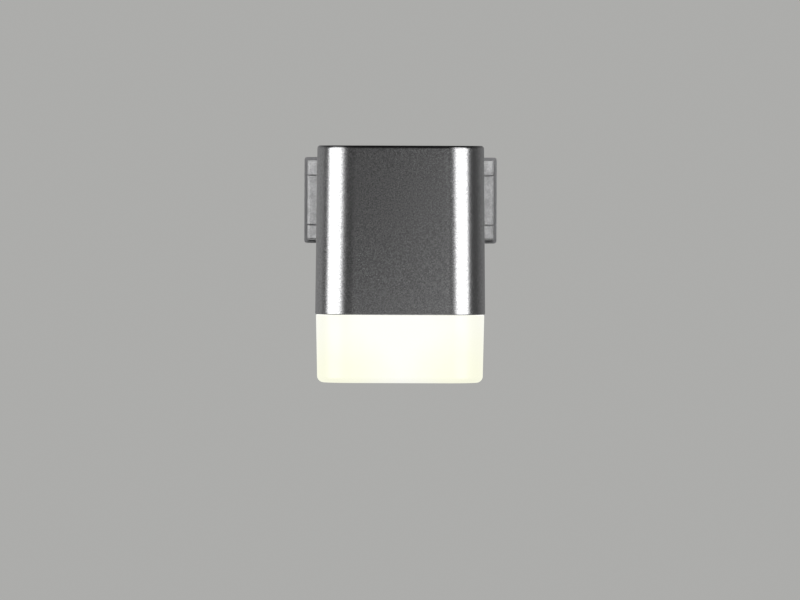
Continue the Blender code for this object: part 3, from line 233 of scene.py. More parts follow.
def rounded_rectangle(half_width, half_height, radius, centre=(0.0, 0.0), steps=6):
    outline = []
    for quarter, (side_x, side_y) in enumerate(((1, 1), (-1, 1), (-1, -1), (1, -1))):
        middle = (
            centre[0] + side_x * (half_width - radius),
            centre[1] + side_y * (half_height - radius),
        )
        start = quarter * math.pi / 2
        outline += arc(middle, radius, start, start + math.pi / 2, steps)
    return outline


def placed(axis, across, up, along):
    """A point given by its place across and along an axis, which is Y or Z."""
    if axis == "Y":
        return Vector((across, along, up))
    return Vector((across, up, along))


def head_ring(z, inset):
    """The head's plan outline at a height, moved in by an inset; its rear side is upright."""
    rear_y, top_z, seam_z = head_planes()
    top_width = 2 * box_radius("head_shell") - HEAD_DRAFT
    share = (top_z - z) / (top_z - seam_z)
    width = top_width + share * HEAD_DRAFT
    depth = top_width + share * HEAD_DRAFT / 2
    middle = (0.0, rear_y - depth / 2)
    outline = rounded_rectangle(
        width / 2 - inset, depth / 2 - inset, HEAD_CORNER - inset, middle, CORNER_STEPS
    )
    return [Vector((x, y, z)) for x, y in outline]


def loft(name, rings, loop=False):
    """An object through rings of points; its ends are capped unless the rings loop."""
    shape = bmesh.new()
    rows = [[shape.verts.new(point) for point in ring] for ring in rings]
    pairs = list(zip(rows, rows[1:]))
    if loop:
        pairs.append((rows[-1], rows[0]))
    for first, second in pairs:
        for index in range(len(first)):
            after = (index + 1) % len(first)
            shape.faces.new((first[index], first[after], second[after], second[index]))
    if not loop:
        shape.faces.new(rows[0])
        shape.faces.new(rows[-1])
    bmesh.ops.recalc_face_normals(shape, faces=shape.faces[:])
    mesh = bpy.data.meshes.new(name)
    shape.to_mesh(mesh)
    shape.free()
    thing = bpy.data.objects.new(name, mesh)
    bpy.context.scene.collection.objects.link(thing)
    return thing


def turned(name, stations, axis, centre, loop=False, segments=48):
    """A turned object: stations are radii and places along its axis."""
    rings = []
    for radius, along in stations:
        points = circle(centre, radius, segments)
        rings.append([placed(axis, across, up, along) for across, up in points])
    return loft(name, rings, loop)


def drill(radius, axis, centre, start, end):
    """A plain cylinder, as a tool for carve."""
    return turned("tool", [(radius, start), (radius, end)], axis, centre)


def block(low, high):
    """A box between two corners, as a tool for carve."""
    corners = [(low[0], low[1]), (high[0], low[1]), (high[0], high[1]), (low[0], high[1])]
    return loft("tool", [[Vector((x, y, z)) for x, y in corners] for z in (low[2], high[2])])


def cross(axis, centre, reach, half_width, start, end):
    """Two bars that cross on an axis, as tools for carve."""
    bars = []
    for half_across, half_up in ((reach, half_width), (half_width, reach)):
        corners = [
            placed(axis, centre[0] + side * half_across, centre[1] + side * half_up, along)
            for side, along in ((-1, start), (1, end))
        ]
        low, high = [[pick(pair) for pair in zip(*corners)] for pick in (min, max)]
        bars.append(block(low, high))
    return bars


def carve(piece, operation, *tools):
    """Join the tools to a piece (UNION) or cut them from it (DIFFERENCE), and keep the result."""
    for tool in tools:
        modifier = piece.modifiers.new(operation, "BOOLEAN")
        modifier.operation = operation
        modifier.solver = "EXACT"
        modifier.object = tool
    graph = bpy.context.evaluated_depsgraph_get()
    piece.data = bpy.data.meshes.new_from_object(piece.evaluated_get(graph))
    piece.modifiers.clear()
    for tool in tools:
        bpy.data.objects.remove(tool)


# ---------------------------------------------------------------- surfaces of meshes

def smooth_by_angle():
    """A geometry node group that shades smooth, with sharp edges past SMOOTH_ANGLE."""
    group = bpy.data.node_groups.new("smooth_by_angle", "GeometryNodeTree")
    group.interface.new_socket("Geometry", in_out="INPUT", socket_type="NodeSocketGeometry")
    group.interface.new_socket("Geometry", in_out="OUTPUT", socket_type="NodeSocketGeometry")
    nodes = group.nodes
    entry = nodes.new("NodeGroupInput")
    leave = nodes.new("NodeGroupOutput")
    faces = nodes.new("GeometryNodeSetShadeSmooth")
    edges = nodes.new("GeometryNodeSetShadeSmooth")
    edges.domain = "EDGE"
    edges.inputs["Shade Smooth"].default_value = False
    angle = nodes.new("GeometryNodeInputMeshEdgeAngle")
    compare = nodes.new("FunctionNodeCompare")
    compare.operation = "GREATER_THAN"
    compare.inputs[1].default_value = SMOOTH_ANGLE
    links = group.links
    links.new(entry.outputs[0], faces.inputs["Geometry"])
    links.new(faces.outputs[0], edges.inputs["Geometry"])
    links.new(angle.outputs["Unsigned Angle"], compare.inputs[0])
    links.new(compare.outputs[0], edges.inputs["Selection"])
    links.new(edges.outputs[0], leave.inputs[0])
    return group


def soften(piece, smoother, width, merge=False):
    """Break a piece's edges with a small bevel and shade its flats flat."""
    if merge:
        weld = piece.modifiers.new("weld", "WELD")
        weld.merge_threshold = WELD_DISTANCE
        dissolve = piece.modifiers.new("dissolve", "DECIMATE")
        dissolve.decimate_type = "DISSOLVE"
        dissolve.angle_limit = math.radians(1)
    if width:
        bevel = piece.modifiers.new("edges", "BEVEL")
        bevel.width = width
        bevel.segments = 2
        bevel.limit_method = "ANGLE"
        bevel.angle_limit = SMOOTH_ANGLE
        bevel.use_clamp_overlap = True
    shading = piece.modifiers.new("shading", "NODES")
    shading.node_group = smoother
    normals = piece.modifiers.new("normals", "WEIGHTED_NORMAL")
    normals.keep_sharp = True


# ---------------------------------------------------------------- materials

class Graph:
    """A node tree, with short ways to add nodes and join them."""

    def __init__(self, tree):
        self.tree = tree

    def add(self, kind, inputs=None, **settings):
        node = self.tree.nodes.new("ShaderNode" + kind)
        for setting, value in settings.items():
            setattr(node, setting, value)
        for socket, value in (inputs or {}).items():
            self.feed(node.inputs[socket], value)
        return node

    def feed(self, socket, value):
        if isinstance(value, bpy.types.NodeSocket):
            self.tree.links.new(value, socket)
        else:
            socket.default_value = value

    def calc(self, operation, first, second=0.0):
        return self.add("Math", {0: first, 1: second}, operation=operation).outputs[0]

    def ramp(self, value, low, high, first, last):
        """The value carried smoothly from first, at low, to last, at high."""
        inputs = {"Value": value, "From Min": low, "From Max": high, "To Min": first, "To Max": last}
        node = self.add("MapRange", inputs, interpolation_type="SMOOTHSTEP")
        return node.outputs["Result"]

    def mix(self, factor, first, second):
        """A colour between two colours."""
        return self.add("Mix", {0: factor, 6: first, 7: second}, data_type="RGBA").outputs[2]


class Finish(Graph):
    """A material around one Principled shader, patterned in the piece's own coordinates."""

    def __init__(self, name):
        self.material = bpy.data.materials.new(name)
        self.material.use_nodes = True
        super().__init__(self.material.node_tree)
        self.shader = self.tree.nodes["Principled BSDF"]
        self.place = self.add("TexCoord").outputs["Object"]

    def set(self, **values):
        for name, value in values.items():
            self.feed(self.shader.inputs[name.replace("_", " ")], value)

    def noise(self, scale, detail=2.0, roughness=0.5):
        inputs = {
            "Vector": self.place, "Scale": scale, "Detail": detail, "Roughness": roughness
        }
        return self.add("TexNoise", inputs).outputs["Fac"]

    def bump(self, height, distance):
        inputs = {"Height": height, "Distance": distance, "Strength": 1.0}
        return self.add("Bump", inputs).outputs["Normal"]

    def edges(self, radius):
        """1 on convex and concave edges, 0 on flats."""
        rounded = self.add("Bevel", {"Radius": radius}, samples=4).outputs["Normal"]
        flat = self.add("NewGeometry").outputs["Normal"]
        agree = self.add("VectorMath", {0: rounded, 1: flat}, operation="DOT_PRODUCT")
        return self.ramp(agree.outputs["Value"], 0.9, 1.0, 1.0, 0.0)


def shade(colour, factor):
    return (*[min(1.0, channel * factor) for channel in colour], 1.0)


def plain_finish(slot, colour, metallic, roughness, grain, depth, mottle=0.06, wear=0.0, coat=0.0):
    """Fine grain over soft, larger unevenness, with lighter edges where handling wears them."""
    finish = Finish(slot)
    fine = finish.noise(grain, 3.0, 0.6)
    broad = finish.noise(grain / 14, 2.0)
    blend = finish.calc("ADD", finish.calc("MULTIPLY", fine, 0.6), finish.calc("MULTIPLY", broad, 0.4))
    tone = finish.mix(
        finish.ramp(blend, 0.3, 0.7, 0.0, 1.0),
        shade(colour, 1 - mottle),
        shade(colour, 1 + mottle),
    )
    if wear:
        edge = finish.calc("MULTIPLY", finish.edges(0.25 * MM), finish.ramp(fine, 0.3, 0.7, 0.2, wear))
        tone = finish.mix(edge, tone, shade(colour, 1.5))
    finish.set(
        Base_Color=tone,
        Metallic=metallic,
        Roughness=finish.ramp(broad, 0.25, 0.75, roughness * 0.85, roughness * 1.15),
        Normal=finish.bump(fine, depth),
        Coat_Weight=coat,
    )
    return finish.material


PLAIN_FINISHES = {
    "zinc": dict(
        colour=(0.50, 0.51, 0.53), metallic=1.0, roughness=0.38, grain=900, depth=0.02 * MM, wear=0.6
    ),
    "steel": dict(
        colour=(0.60, 0.60, 0.61), metallic=1.0, roughness=0.28, grain=1400, depth=0.01 * MM, wear=0.5
    ),
    "brass": dict(colour=(0.72, 0.55, 0.25), metallic=1.0, roughness=0.3, grain=1200, depth=0.01 * MM),
    "copper": dict(colour=(0.78, 0.42, 0.26), metallic=1.0, roughness=0.3, grain=1200, depth=0.01 * MM),
    "aluminium": dict(
        colour=(0.66, 0.67, 0.68), metallic=1.0, roughness=0.42, grain=1000, depth=0.02 * MM
    ),
    "black_plastic": dict(
        colour=(0.028, 0.028, 0.030), metallic=0.0, roughness=0.5, grain=2200, depth=0.03 * MM,
        mottle=0.15, wear=0.35,
    ),
    "white_plastic": dict(
        colour=(0.78, 0.78, 0.75), metallic=0.0, roughness=0.42, grain=1500, depth=0.015 * MM,
        mottle=0.03,
    ),
    "fibre": dict(
        colour=(0.36, 0.15, 0.08), metallic=0.0, roughness=0.75, grain=1800, depth=0.05 * MM,
        mottle=0.25,
    ),
    "white_board": dict(
        colour=(0.84, 0.84, 0.82), metallic=0.0, roughness=0.35, grain=1200, depth=0.01 * MM,
        mottle=0.03, coat=0.3,
    ),
    "ferrite": dict(
        colour=(0.07, 0.07, 0.075), metallic=0.0, roughness=0.6, grain=2600, depth=0.04 * MM,
        mottle=0.3,
    ),
    "capacitor_sleeve": dict(
        colour=(0.03, 0.03, 0.05), metallic=0.0, roughness=0.3, grain=500, depth=0.01 * MM, coat=0.4
    ),
    "thermal_pad": dict(
        colour=(0.38, 0.45, 0.52), metallic=0.0, roughness=0.85, grain=1600, depth=0.04 * MM,
        mottle=0.12,
    ),
    "grey_sheath": dict(
        colour=(0.26, 0.26, 0.27), metallic=0.0, roughness=0.6, grain=1500, depth=0.02 * MM
    ),
    "red_lead": dict(
        colour=(0.55, 0.03, 0.025), metallic=0.0, roughness=0.45, grain=1500, depth=0.01 * MM
    ),
    "black_lead": dict(
        colour=(0.02, 0.02, 0.02), metallic=0.0, roughness=0.45, grain=1500, depth=0.01 * MM
    ),
    "green_lead": dict(
        colour=(0.14, 0.38, 0.04), metallic=0.0, roughness=0.45, grain=1500, depth=0.01 * MM
    ),
}


def satin_metal():
    """Bead-blasted and lacquered aluminium: fine even grain, no direction."""
    finish = Finish("satin_metal")
    grain = finish.noise(1900, 2.0, 0.6)
    tone = finish.mix(
        finish.ramp(grain, 0.3, 0.7, 0.0, 1.0), (0.455, 0.455, 0.46, 1), (0.705, 0.705, 0.71, 1)
    )
    finish.set(
        Base_Color=tone,
        Metallic=1.0,
        Roughness=finish.ramp(grain, 0.3, 0.7, 0.235, 0.245),
        Normal=finish.bump(grain, 0.0006 * MM),
    )
    return finish.material


def silver_adapter():
    """Silver-grey powder paint with a sandy sparkle. Its face edges are lighter, partly wear and partly
    a painted highlight, and painted shade darkens the base flange.
    """
    finish = Finish("silver_adapter")
    sand = finish.noise(1500, 3.0, 0.65)
    patches = finish.noise(420, 2.0)
    blend = finish.calc("ADD", finish.calc("MULTIPLY", sand, 0.5), finish.calc("MULTIPLY", patches, 0.5))
    tone = finish.mix(
        finish.ramp(blend, 0.32, 0.68, 0.0, 1.0), (0.52, 0.52, 0.525, 1), (0.78, 0.78, 0.785, 1)
    )
    # lighter face edges: partly wear, partly a painted highlight for the light line caught along the
    # adapter's face edges
    edge = finish.calc("MULTIPLY", finish.edges(0.3 * MM), 0.35)
    worn_and_painted_highlight = finish.mix(edge, tone, (0.85, 0.85, 0.86, 1))
    y = finish.add("SeparateXYZ", {0: finish.place}).outputs["Y"]
    # painted shade: the base flange is darkened to stand in for the shadow and the dim recess around the
    # adapter's base
    flange = finish.ramp(y, FLANGE_Y - 0.6 * MM, FLANGE_Y - 0.1 * MM, 0.0, 1.0)
    finish.set(
        Base_Color=finish.mix(flange, worn_and_painted_highlight, FLANGE_PAINTED_SHADE),
        Metallic=0.3,
        Roughness=finish.ramp(patches, 0.3, 0.7, 0.42, 0.55),
        Normal=finish.bump(sand, 0.06 * MM),
    )
    return finish.material


def opal(centre, half):
    """Lit opal plastic: white in the middle of each side and warmer towards its corners."""
    finish = Finish("opal")
    x, y, z = finish.add("SeparateXYZ", {0: finish.place}).outputs
    across = finish.calc("ABSOLUTE", finish.calc("MULTIPLY", x, 1 / half))
    behind = finish.calc("SUBTRACT", y, centre)
    along = finish.calc("ABSOLUTE", finish.calc("MULTIPLY", behind, 1 / half))
    low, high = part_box("diffuser")
    down = finish.ramp(z, low.z + 1 * MM, high.z - 8 * MM, 0.55, 0.0)
    corner = finish.calc("ADD", finish.calc("MULTIPLY", across, along), down)
    clouds = finish.noise(90, 2.0)
    warmth = finish.calc("ADD", corner, finish.ramp(clouds, 0.3, 0.7, -0.06, 0.06))
    glow = finish.mix(
        finish.ramp(warmth, 0.25, 1.25, 0.0, 1.0), (1.0, 1.0, 0.96, 1), (1.0, 1.0, 0.81, 1)
    )
    finish.set(
        Base_Color=(0.12, 0.12, 0.10, 1),
        Roughness=finish.ramp(clouds, 0.3, 0.7, 0.3, 0.36),
        Normal=finish.bump(finish.noise(700, 2.0), 0.004 * MM),
        Emission_Color=glow,
        Emission_Strength=0.90,
    )
    return finish.material


def emitter():
    """Yellow phosphor under a clear dome, alight."""
    finish = Finish("emitter")
    cells = finish.noise(2500, 2.0)
    glow = finish.mix(finish.ramp(cells, 0.3, 0.7, 0.0, 1.0), (1.0, 0.80, 0.38, 1), (1.0, 0.93, 0.66, 1))
    finish.set(
        Base_Color=(0.8, 0.65, 0.2, 1), Roughness=0.15, Coat_Weight=1.0,
        Emission_Color=glow, Emission_Strength=1.2, Normal=finish.bump(cells, 0.01 * MM),
    )
    return finish.material


def circuit_board():
    """Green solder mask with paler tracks under it and tinned pads through it."""
    finish = Finish("circuit_board")
    tracks = finish.add(
        "TexBrick",
        {"Vector": finish.place, "Scale": 260.0, "Mortar Size": 0.06, "Color1": (0, 0, 0, 1),
         "Color2": (0, 0, 0, 1), "Mortar": (1, 1, 1, 1), "Brick Width": 1.4, "Row Height": 0.5},
        offset=0.37,
    ).outputs["Color"]
    pads = finish.add(
        "TexVoronoi", {"Vector": finish.place, "Scale": 240.0, "Randomness": 0.6}
    ).outputs["Distance"]
    pad = finish.ramp(pads, 0.10, 0.13, 1.0, 0.0)
    mask = finish.mix(tracks, (0.012, 0.13, 0.05, 1), (0.03, 0.24, 0.09, 1))
    finish.set(
        Base_Color=finish.mix(pad, mask, (0.75, 0.74, 0.70, 1)),
        Metallic=pad,
        Roughness=finish.ramp(finish.noise(400), 0.3, 0.7, 0.28, 0.4),
        Normal=finish.bump(tracks, 0.02 * MM),
    )
    return finish.material


def banded(slot, colour, dark, metallic, roughness, turns_per_metre, depth):
    """Windings: turns of wire or tape stacked along Z."""
    finish = Finish(slot)
    wave = finish.add(
        "TexWave", {"Vector": finish.place, "Scale": turns_per_metre * 2 * math.pi / 20,
                    "Distortion": 0.0},
        bands_direction="Z", wave_profile="SIN",
    ).outputs["Fac"]
    fine = finish.noise(1200)
    tone = finish.mix(finish.ramp(wave, 0.0, 0.5, 1.0, 0.0), colour, dark)
    finish.set(
        Base_Color=finish.mix(finish.calc("MULTIPLY", fine, 0.25), tone, dark),
        Metallic=metallic,
        Roughness=roughness,
        Normal=finish.bump(wave, depth),
    )
    return finish.material


def make_materials():
    made = {slot: plain_finish(slot, **look) for slot, look in PLAIN_FINISHES.items()}
    made["satin_metal"] = satin_metal()
    made["silver_adapter"] = silver_adapter()
    made["opal"] = opal(centreline("diffuser", "Z")[1], box_radius("diffuser"))
    made["emitter"] = emitter()
    made["circuit_board"] = circuit_board()
    made["coil_tape"] = banded(
        "coil_tape", (0.78, 0.58, 0.08, 1), (0.50, 0.33, 0.03, 1), 0.0, 0.35, 1600, 0.02 * MM
    )
    return made


# ---------------------------------------------------------------- pieces

def finished(piece, body, slot, materials, *nodes):
    """Give a new piece its material, and let it stand for CAD nodes and ride on their body."""
    piece.data.materials.clear()
    piece.data.materials.append(materials[slot])
    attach(piece, body)
    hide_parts(*nodes)


def head_shell(materials, smoother):
    """A wall folded over itself at the mouth, with screw bosses and the stem's hole in its rear."""
    rear_y, top_z, seam_z = head_planes()
    ceiling = top_z - HEAD_WALL
    rings = []
    for falling, growing in quarter_round(HEAD_EDGE / 2, EDGE_STEPS):
        rings.append(head_ring(ceiling - growing, HEAD_WALL + falling))
    rings.append(head_ring(seam_z, HEAD_WALL))
    rings.append(head_ring(seam_z, MOUTH_CHAMFER))
    rings.append(head_ring(seam_z + MOUTH_CHAMFER, 0.0))
    for falling, growing in quarter_round(HEAD_EDGE, EDGE_STEPS):
        rings.append(head_ring(top_z - falling, growing))
    shell = loft("spotlight_shell", rings)
    centres = [centreline(f"chassis_screw_{number}", "Y") for number in range(1, 5)]
    root_y = rear_y - BOSS_ROOT
    pilot_y = rear_y - HEAD_WALL - BOSS_FLOOR
    carve(
        shell, "UNION", *[drill(BOSS_RADIUS, "Y", centre, root_y, BOSS_FRONT_Y) for centre in centres]
    )
    carve(
        shell,
        "DIFFERENCE",
        drill(STEM_HOLE_RADIUS, "Y", (0.0, 0.0), rear_y + DRILL_OVERRUN, rear_y - 2 * HEAD_WALL),
        *[drill(BOSS_PILOT_RADIUS, "Y", centre, pilot_y, 2 * BOSS_FRONT_Y) for centre in centres],
    )
    soften(shell, smoother, 0.0)
    finished(shell, "head", "satin_metal", materials, "head_shell")


def diffuser_ring(z, inset):
    """The diffuser's plan outline at a height, which narrows a little towards its underside."""
    low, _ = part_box("diffuser")
    _, _, seam_z = head_planes()
    share = (seam_z - z) / (seam_z - low.z)
    flat = head_ring(seam_z, DIFFUSER_INSET + share * DIFFUSER_TAPER + inset)
    return [Vector((point.x, point.y, z)) for point in flat]


def domed_rings(bottom_z, inset):
    """The slightly crowned underside, as rings that shrink to its middle."""
    rim = diffuser_ring(bottom_z, inset)
    middle = sum(rim, Vector()) / len(rim)
    rings = []
    for share in (1.0, 0.9, 0.75, 0.55, 0.3, 0.08):
        z = bottom_z + DIFFUSER_DOME * share**2
        rings.append([Vector((*(middle + (point - middle) * share).xy, z)) for point in rim])
    return rings


def diffuser(materials, smoother):
    """A cup with a neck that enters the shell: rings from its inner floor, over the rim, to its base."""
    low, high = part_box("diffuser")
    _, _, seam_z = head_planes()
    top_z = seam_z - DIFFUSER_SEAM
    floor_z = low.z + DIFFUSER_WALL
    shoulder_z = top_z - SHOULDER_DEPTH
    neck_inner = NECK_INSET + NECK_WALL
    rings = []
    for falling, growing in quarter_round(DIFFUSER_INNER_EDGE, EDGE_STEPS):
        rings.append(diffuser_ring(floor_z + growing, DIFFUSER_WALL + falling))
    rings.append(diffuser_ring(shoulder_z - DIFFUSER_INNER_EDGE, DIFFUSER_WALL))
    rings.append(head_ring(shoulder_z, neck_inner))
    rings.append(head_ring(high.z, neck_inner))
    rings.append(head_ring(high.z, NECK_INSET + RIM_CHAMFER))
    rings.append(head_ring(high.z - RIM_CHAMFER, NECK_INSET))
    rings.append(head_ring(top_z, NECK_INSET))
    rings.append(diffuser_ring(top_z, RIM_CHAMFER))
    rings.append(diffuser_ring(top_z - RIM_CHAMFER, 0.0))
    for falling, growing in quarter_round(DIFFUSER_EDGE, 2 * EDGE_STEPS)[:-1]:
        rings.append(diffuser_ring(low.z + DIFFUSER_DOME + falling, growing))
    rings += domed_rings(low.z, DIFFUSER_EDGE)
    cup = loft("opal_diffuser", rings)
    soften(cup, smoother, 0.0)
    finished(cup, "diffuser", "opal", materials, "diffuser")


def arch(radius, low, high, steps=6):
    """Stations of a rounded end: from the full radius at low to a narrow flat at high."""
    stations = []
    for step in range(steps + 1):
        angle = step * math.pi / 2 / steps
        share = max(math.cos(angle), 0.12)
        stations.append((radius * share, low + (high - low) * math.sin(angle)))
    return stations


def threaded(radius, depth, pitch, start, end):
    """Stations of a rolled thread, drawn as one rounded groove for each turn."""
    turns = max(1, round(abs(end - start) / pitch))
    step = (end - start) / turns
    stations = []
    for turn in range(turns):
        place = start + turn * step
        stations += [
            (radius - depth, place),
            (radius - 0.15 * depth, place + 0.28 * step),
            (radius, place + 0.42 * step),
            (radius - 0.15 * depth, place + 0.56 * step),
            (radius - depth, place + 0.84 * step),
        ]
    stations.append((radius - depth, end))
    return stations


def screw(node, body, axis, facing, shank, height, materials, smoother):
    """A pan-head screw with a cross recess and a rolled thread, in its CAD solid's box."""
    low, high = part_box(node)
    centre = centreline(node, axis)
    ends = (low.y, high.y) if axis == "Y" else (low.z, high.z)
    tip, top = ends if facing > 0 else ends[::-1]
    radius = box_radius(node)
    relief = facing * SCREW_RELIEF
    point = facing * SCREW_POINT
    seat = top - facing * height
    shoulder = seat - point
    stations = [(shank / 3, tip), (shank - THREAD_DEPTH, tip + point - relief)]
    stations += threaded(shank, THREAD_DEPTH, THREAD_PITCH, tip + point, shoulder)
    stations += [(shank, shoulder + relief), (shank, seat), (radius - SCREW_RELIEF, seat)]
    stations.append((radius, seat + relief))
    stations += arch(radius, seat + facing * 0.4 * height, top)
    piece = turned(node + "_pan_head", stations, axis, centre)
    recess_floor = top - facing * 0.55 * height
    recess = cross(
        axis, centre, 0.62 * radius, 0.15 * radius, recess_floor, top + facing * height
    )
    carve(piece, "DIFFERENCE", *recess)
    soften(piece, smoother, 0.0)
    finished(piece, body, "steel", materials, node)


def screws(materials, smoother):
    for family, details in SCREWS.items():
        for number in range(1, 5):
            screw(f"{family}_{number}", *details, materials, smoother)


def ring_piece(name, node, body, slot, stations, materials, smoother, edge=SOFT_EDGE):
    piece = turned(name, stations, "Y", (0.0, 0.0), loop=True, segments=RING_SIDES)
    soften(piece, smoother, edge)
    finished(piece, body, slot, materials, node)


def washer_stations(node):
    low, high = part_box(node)
    outer = box_radius(node)
    return [(outer, high.y), (outer, low.y), (CLEAR_RADIUS, low.y), (CLEAR_RADIUS, high.y)]


def threaded_stem(materials, smoother):
    """A hollow stem with a flange at its root and a thread from the collar to its mouth."""
    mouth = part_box("threaded_stem")[0].y
    flange = box_radius("threaded_stem")
    thread_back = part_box("swivel_collar")[0].y
    stations = [(flange, STEM_FLANGE_BACK), (flange, 0.0), (STEM_RADIUS, 0.0)]
    stations.append((STEM_RADIUS, thread_back))
    stations += threaded(
        STEM_RADIUS, STEM_THREAD_DEPTH, STEM_THREAD_PITCH,
        thread_back - BORE_CHAMFER, mouth + STEM_LEAD_IN,
    )
    stations += [
        (STEM_RADIUS - STEM_MOUTH_CHAMFER, mouth),
        (STEM_BORE + BORE_CHAMFER, mouth),
        (STEM_BORE, mouth + BORE_CHAMFER),
        (STEM_BORE, STEM_FLANGE_BACK),
    ]
    ring_piece("hollow_stem", "threaded_stem", "adapter", "zinc", stations, materials, smoother, 0.0)


def wave_washer(materials, smoother):
    """A spring washer with three waves round it."""
    low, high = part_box("wave_washer")
    outer = box_radius("wave_washer")
    thickness = high.y - low.y - 2 * WAVE_HEIGHT
    middle = high.y - WAVE_HEIGHT
    rings = []
    for radius, offset in (
        (outer, 0.0), (outer, -thickness), (CLEAR_RADIUS, -thickness), (CLEAR_RADIUS, 0.0)
    ):
        ring = []
        for x, z in circle((0, 0), radius, RING_SIDES):
            along = middle + WAVE_HEIGHT * math.cos(3 * math.atan2(z, x)) + offset
            ring.append(Vector((x, along, z)))
        rings.append(ring)
    piece = loft("sprung_washer", rings, loop=True)
    soften(piece, smoother, WASHER_EDGE)
    finished(piece, "adapter", "steel", materials, "wave_washer")


def swivel_nut(materials, smoother):
    """A hexagon nut whose corners are turned off at both faces."""
    low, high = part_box("swivel_nut")
    face_radius = NUT_FLATS / 2 - 0.1 * MM
    sixth = math.pi / 3
    rings = []
    for along, limit in (
        (high.y, face_radius),
        (high.y - NUT_CHAMFER, NUT_FLATS),
        (low.y + NUT_CHAMFER, NUT_FLATS),
        (low.y, face_radius),
        (low.y, CLEAR_RADIUS + BORE_CHAMFER),
        (low.y + BORE_CHAMFER, CLEAR_RADIUS),
        (high.y - BORE_CHAMFER, CLEAR_RADIUS),
        (high.y, CLEAR_RADIUS + BORE_CHAMFER),
    ):
        ring = []
        for step in range(RING_SIDES):
            angle = 2 * math.pi * step / RING_SIDES
            hexagon = NUT_FLATS / 2 / math.cos((angle + sixth / 2) % sixth - sixth / 2)
            radius = min(hexagon, limit)
            ring.append(Vector((radius * math.cos(angle), along, radius * math.sin(angle))))
        rings.append(ring)
    piece = loft("hexagon_nut", rings, loop=True)
    soften(piece, smoother, 0.0)
    finished(piece, "adapter", "zinc", materials, "swivel_nut")


def swivel(materials, smoother):
    threaded_stem(materials, smoother)
    ring_piece(
        "collar", "swivel_collar", "adapter", "zinc", washer_stations("swivel_collar"),
        materials, smoother,
    )
    ring_piece(
        "fibre_washer", "friction_washer", "adapter", "fibre", washer_stations("friction_washer"),
        materials, smoother, WASHER_EDGE,
    )
    wave_washer(materials, smoother)
    swivel_nut(materials, smoother)


def cam(name, node, pinion_node, body, slot, materials, smoother):
    """A bar with round ends on a shaft, its edges rounded off."""
    _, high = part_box(node)
    centre_x, _ = centreline(node, "Y")
    reach = high.z - CAM_LOBE_WIDTH / 2
    rounding = quarter_round(CAM_EDGE, 4)
    sections = [(CAM_FRONT + growing, falling) for falling, growing in rounding]
    sections += [(CAM_BACK - growing, falling) for falling, growing in reversed(rounding)]
    rings = []
    for along, inset in sections:
        radius = CAM_LOBE_WIDTH / 2 - inset
        outline = arc((centre_x, reach), radius, 0, math.pi, 20)
        outline += arc((centre_x, -reach), radius, math.pi, 2 * math.pi, 20)
        rings.append([Vector((x, along, z)) for x, z in outline])
    piece = loft(name, rings)
    pinion_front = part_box(pinion_node)[0].y
    shaft = [
        (PINION_SEAT_RADIUS, pinion_front),
        (PINION_SEAT_RADIUS, PLATE_BACK),
        (CAM_SHAFT_RADIUS, PLATE_BACK),
        (CAM_SHAFT_RADIUS, CAM_SHAFT_BACK),
        (CAM_TAIL_RADIUS, CAM_SHAFT_BACK),
        (CAM_TAIL_RADIUS, high.y - RIM_CHAMFER),
        (CAM_TAIL_RADIUS - RIM_CHAMFER, high.y),
    ]
    carve(piece, "UNION", turned("tool", shaft, "Y", (centre_x, 0.0)))
    soften(piece, smoother, 0.0)
    finished(piece, body, slot, materials, node)


def tongue_cap(materials, smoother):
    """The tongue's rear plate, with rounded edges, cam bearings and counterbored screw holes."""
    low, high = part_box("tongue_cap")
    front = low.y - DRILL_OVERRUN
    sections = [(low.y, 0.0)]
    sections += [(high.y - falling, growing) for falling, growing in quarter_round(CAP_EDGE, 4)]
    rings = []
    for along, inset in sections:
        outline = rounded_rectangle(high.x - inset, high.z - inset, CAP_CORNER - inset)
        rings.append([Vector((x, along, z)) for x, z in outline])
    piece = loft("tongue_rear_plate", rings)
    seat = high.y - CAP_COUNTERBORE_DEPTH
    stations = [
        (CAP_HOLE, front),
        (CAP_HOLE, seat),
        (CAP_COUNTERBORE, seat),
        (CAP_COUNTERBORE, high.y - RIM_CHAMFER),
        (CAP_COUNTERBORE + 2 * RIM_CHAMFER, high.y + RIM_CHAMFER),
    ]
    holes = []
    for number in range(1, 5):
        holes.append(turned("tool", stations, "Y", centreline(f"tongue_screw_{number}", "Y")))
    for node in ("locking_cam", "contact_cam"):
        centre = (centreline(node, "Y")[0], 0.0)
        bearing = CAM_TAIL_RADIUS + BEARING_GAP
        holes.append(drill(bearing, "Y", centre, front, high.y + DRILL_OVERRUN))
    carve(piece, "DIFFERENCE", *holes)
    soften(piece, smoother, 0.0)
    finished(piece, "adapter", "black_plastic", materials, "tongue_cap")


def led_emitters(materials, smoother):
    """Round packages, each with a narrower dome below its rim."""
    for number in range(1, 5):
        node = f"led_emitter_{number}"
        low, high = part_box(node)
        radius = box_radius(node)
        rim = high.z - EMITTER_RIM
        chamfer = 0.1 * MM
        stations = [(radius, high.z), (radius, rim + chamfer), (radius - chamfer, rim)]
        stations += arch(0.78 * radius, rim, low.z, 10)
        piece = turned(f"emitter_dome_{number}", stations, "Z", centreline(node, "Z"))
        soften(piece, smoother, 0.0)
        finished(piece, "head", "emitter", materials, node)


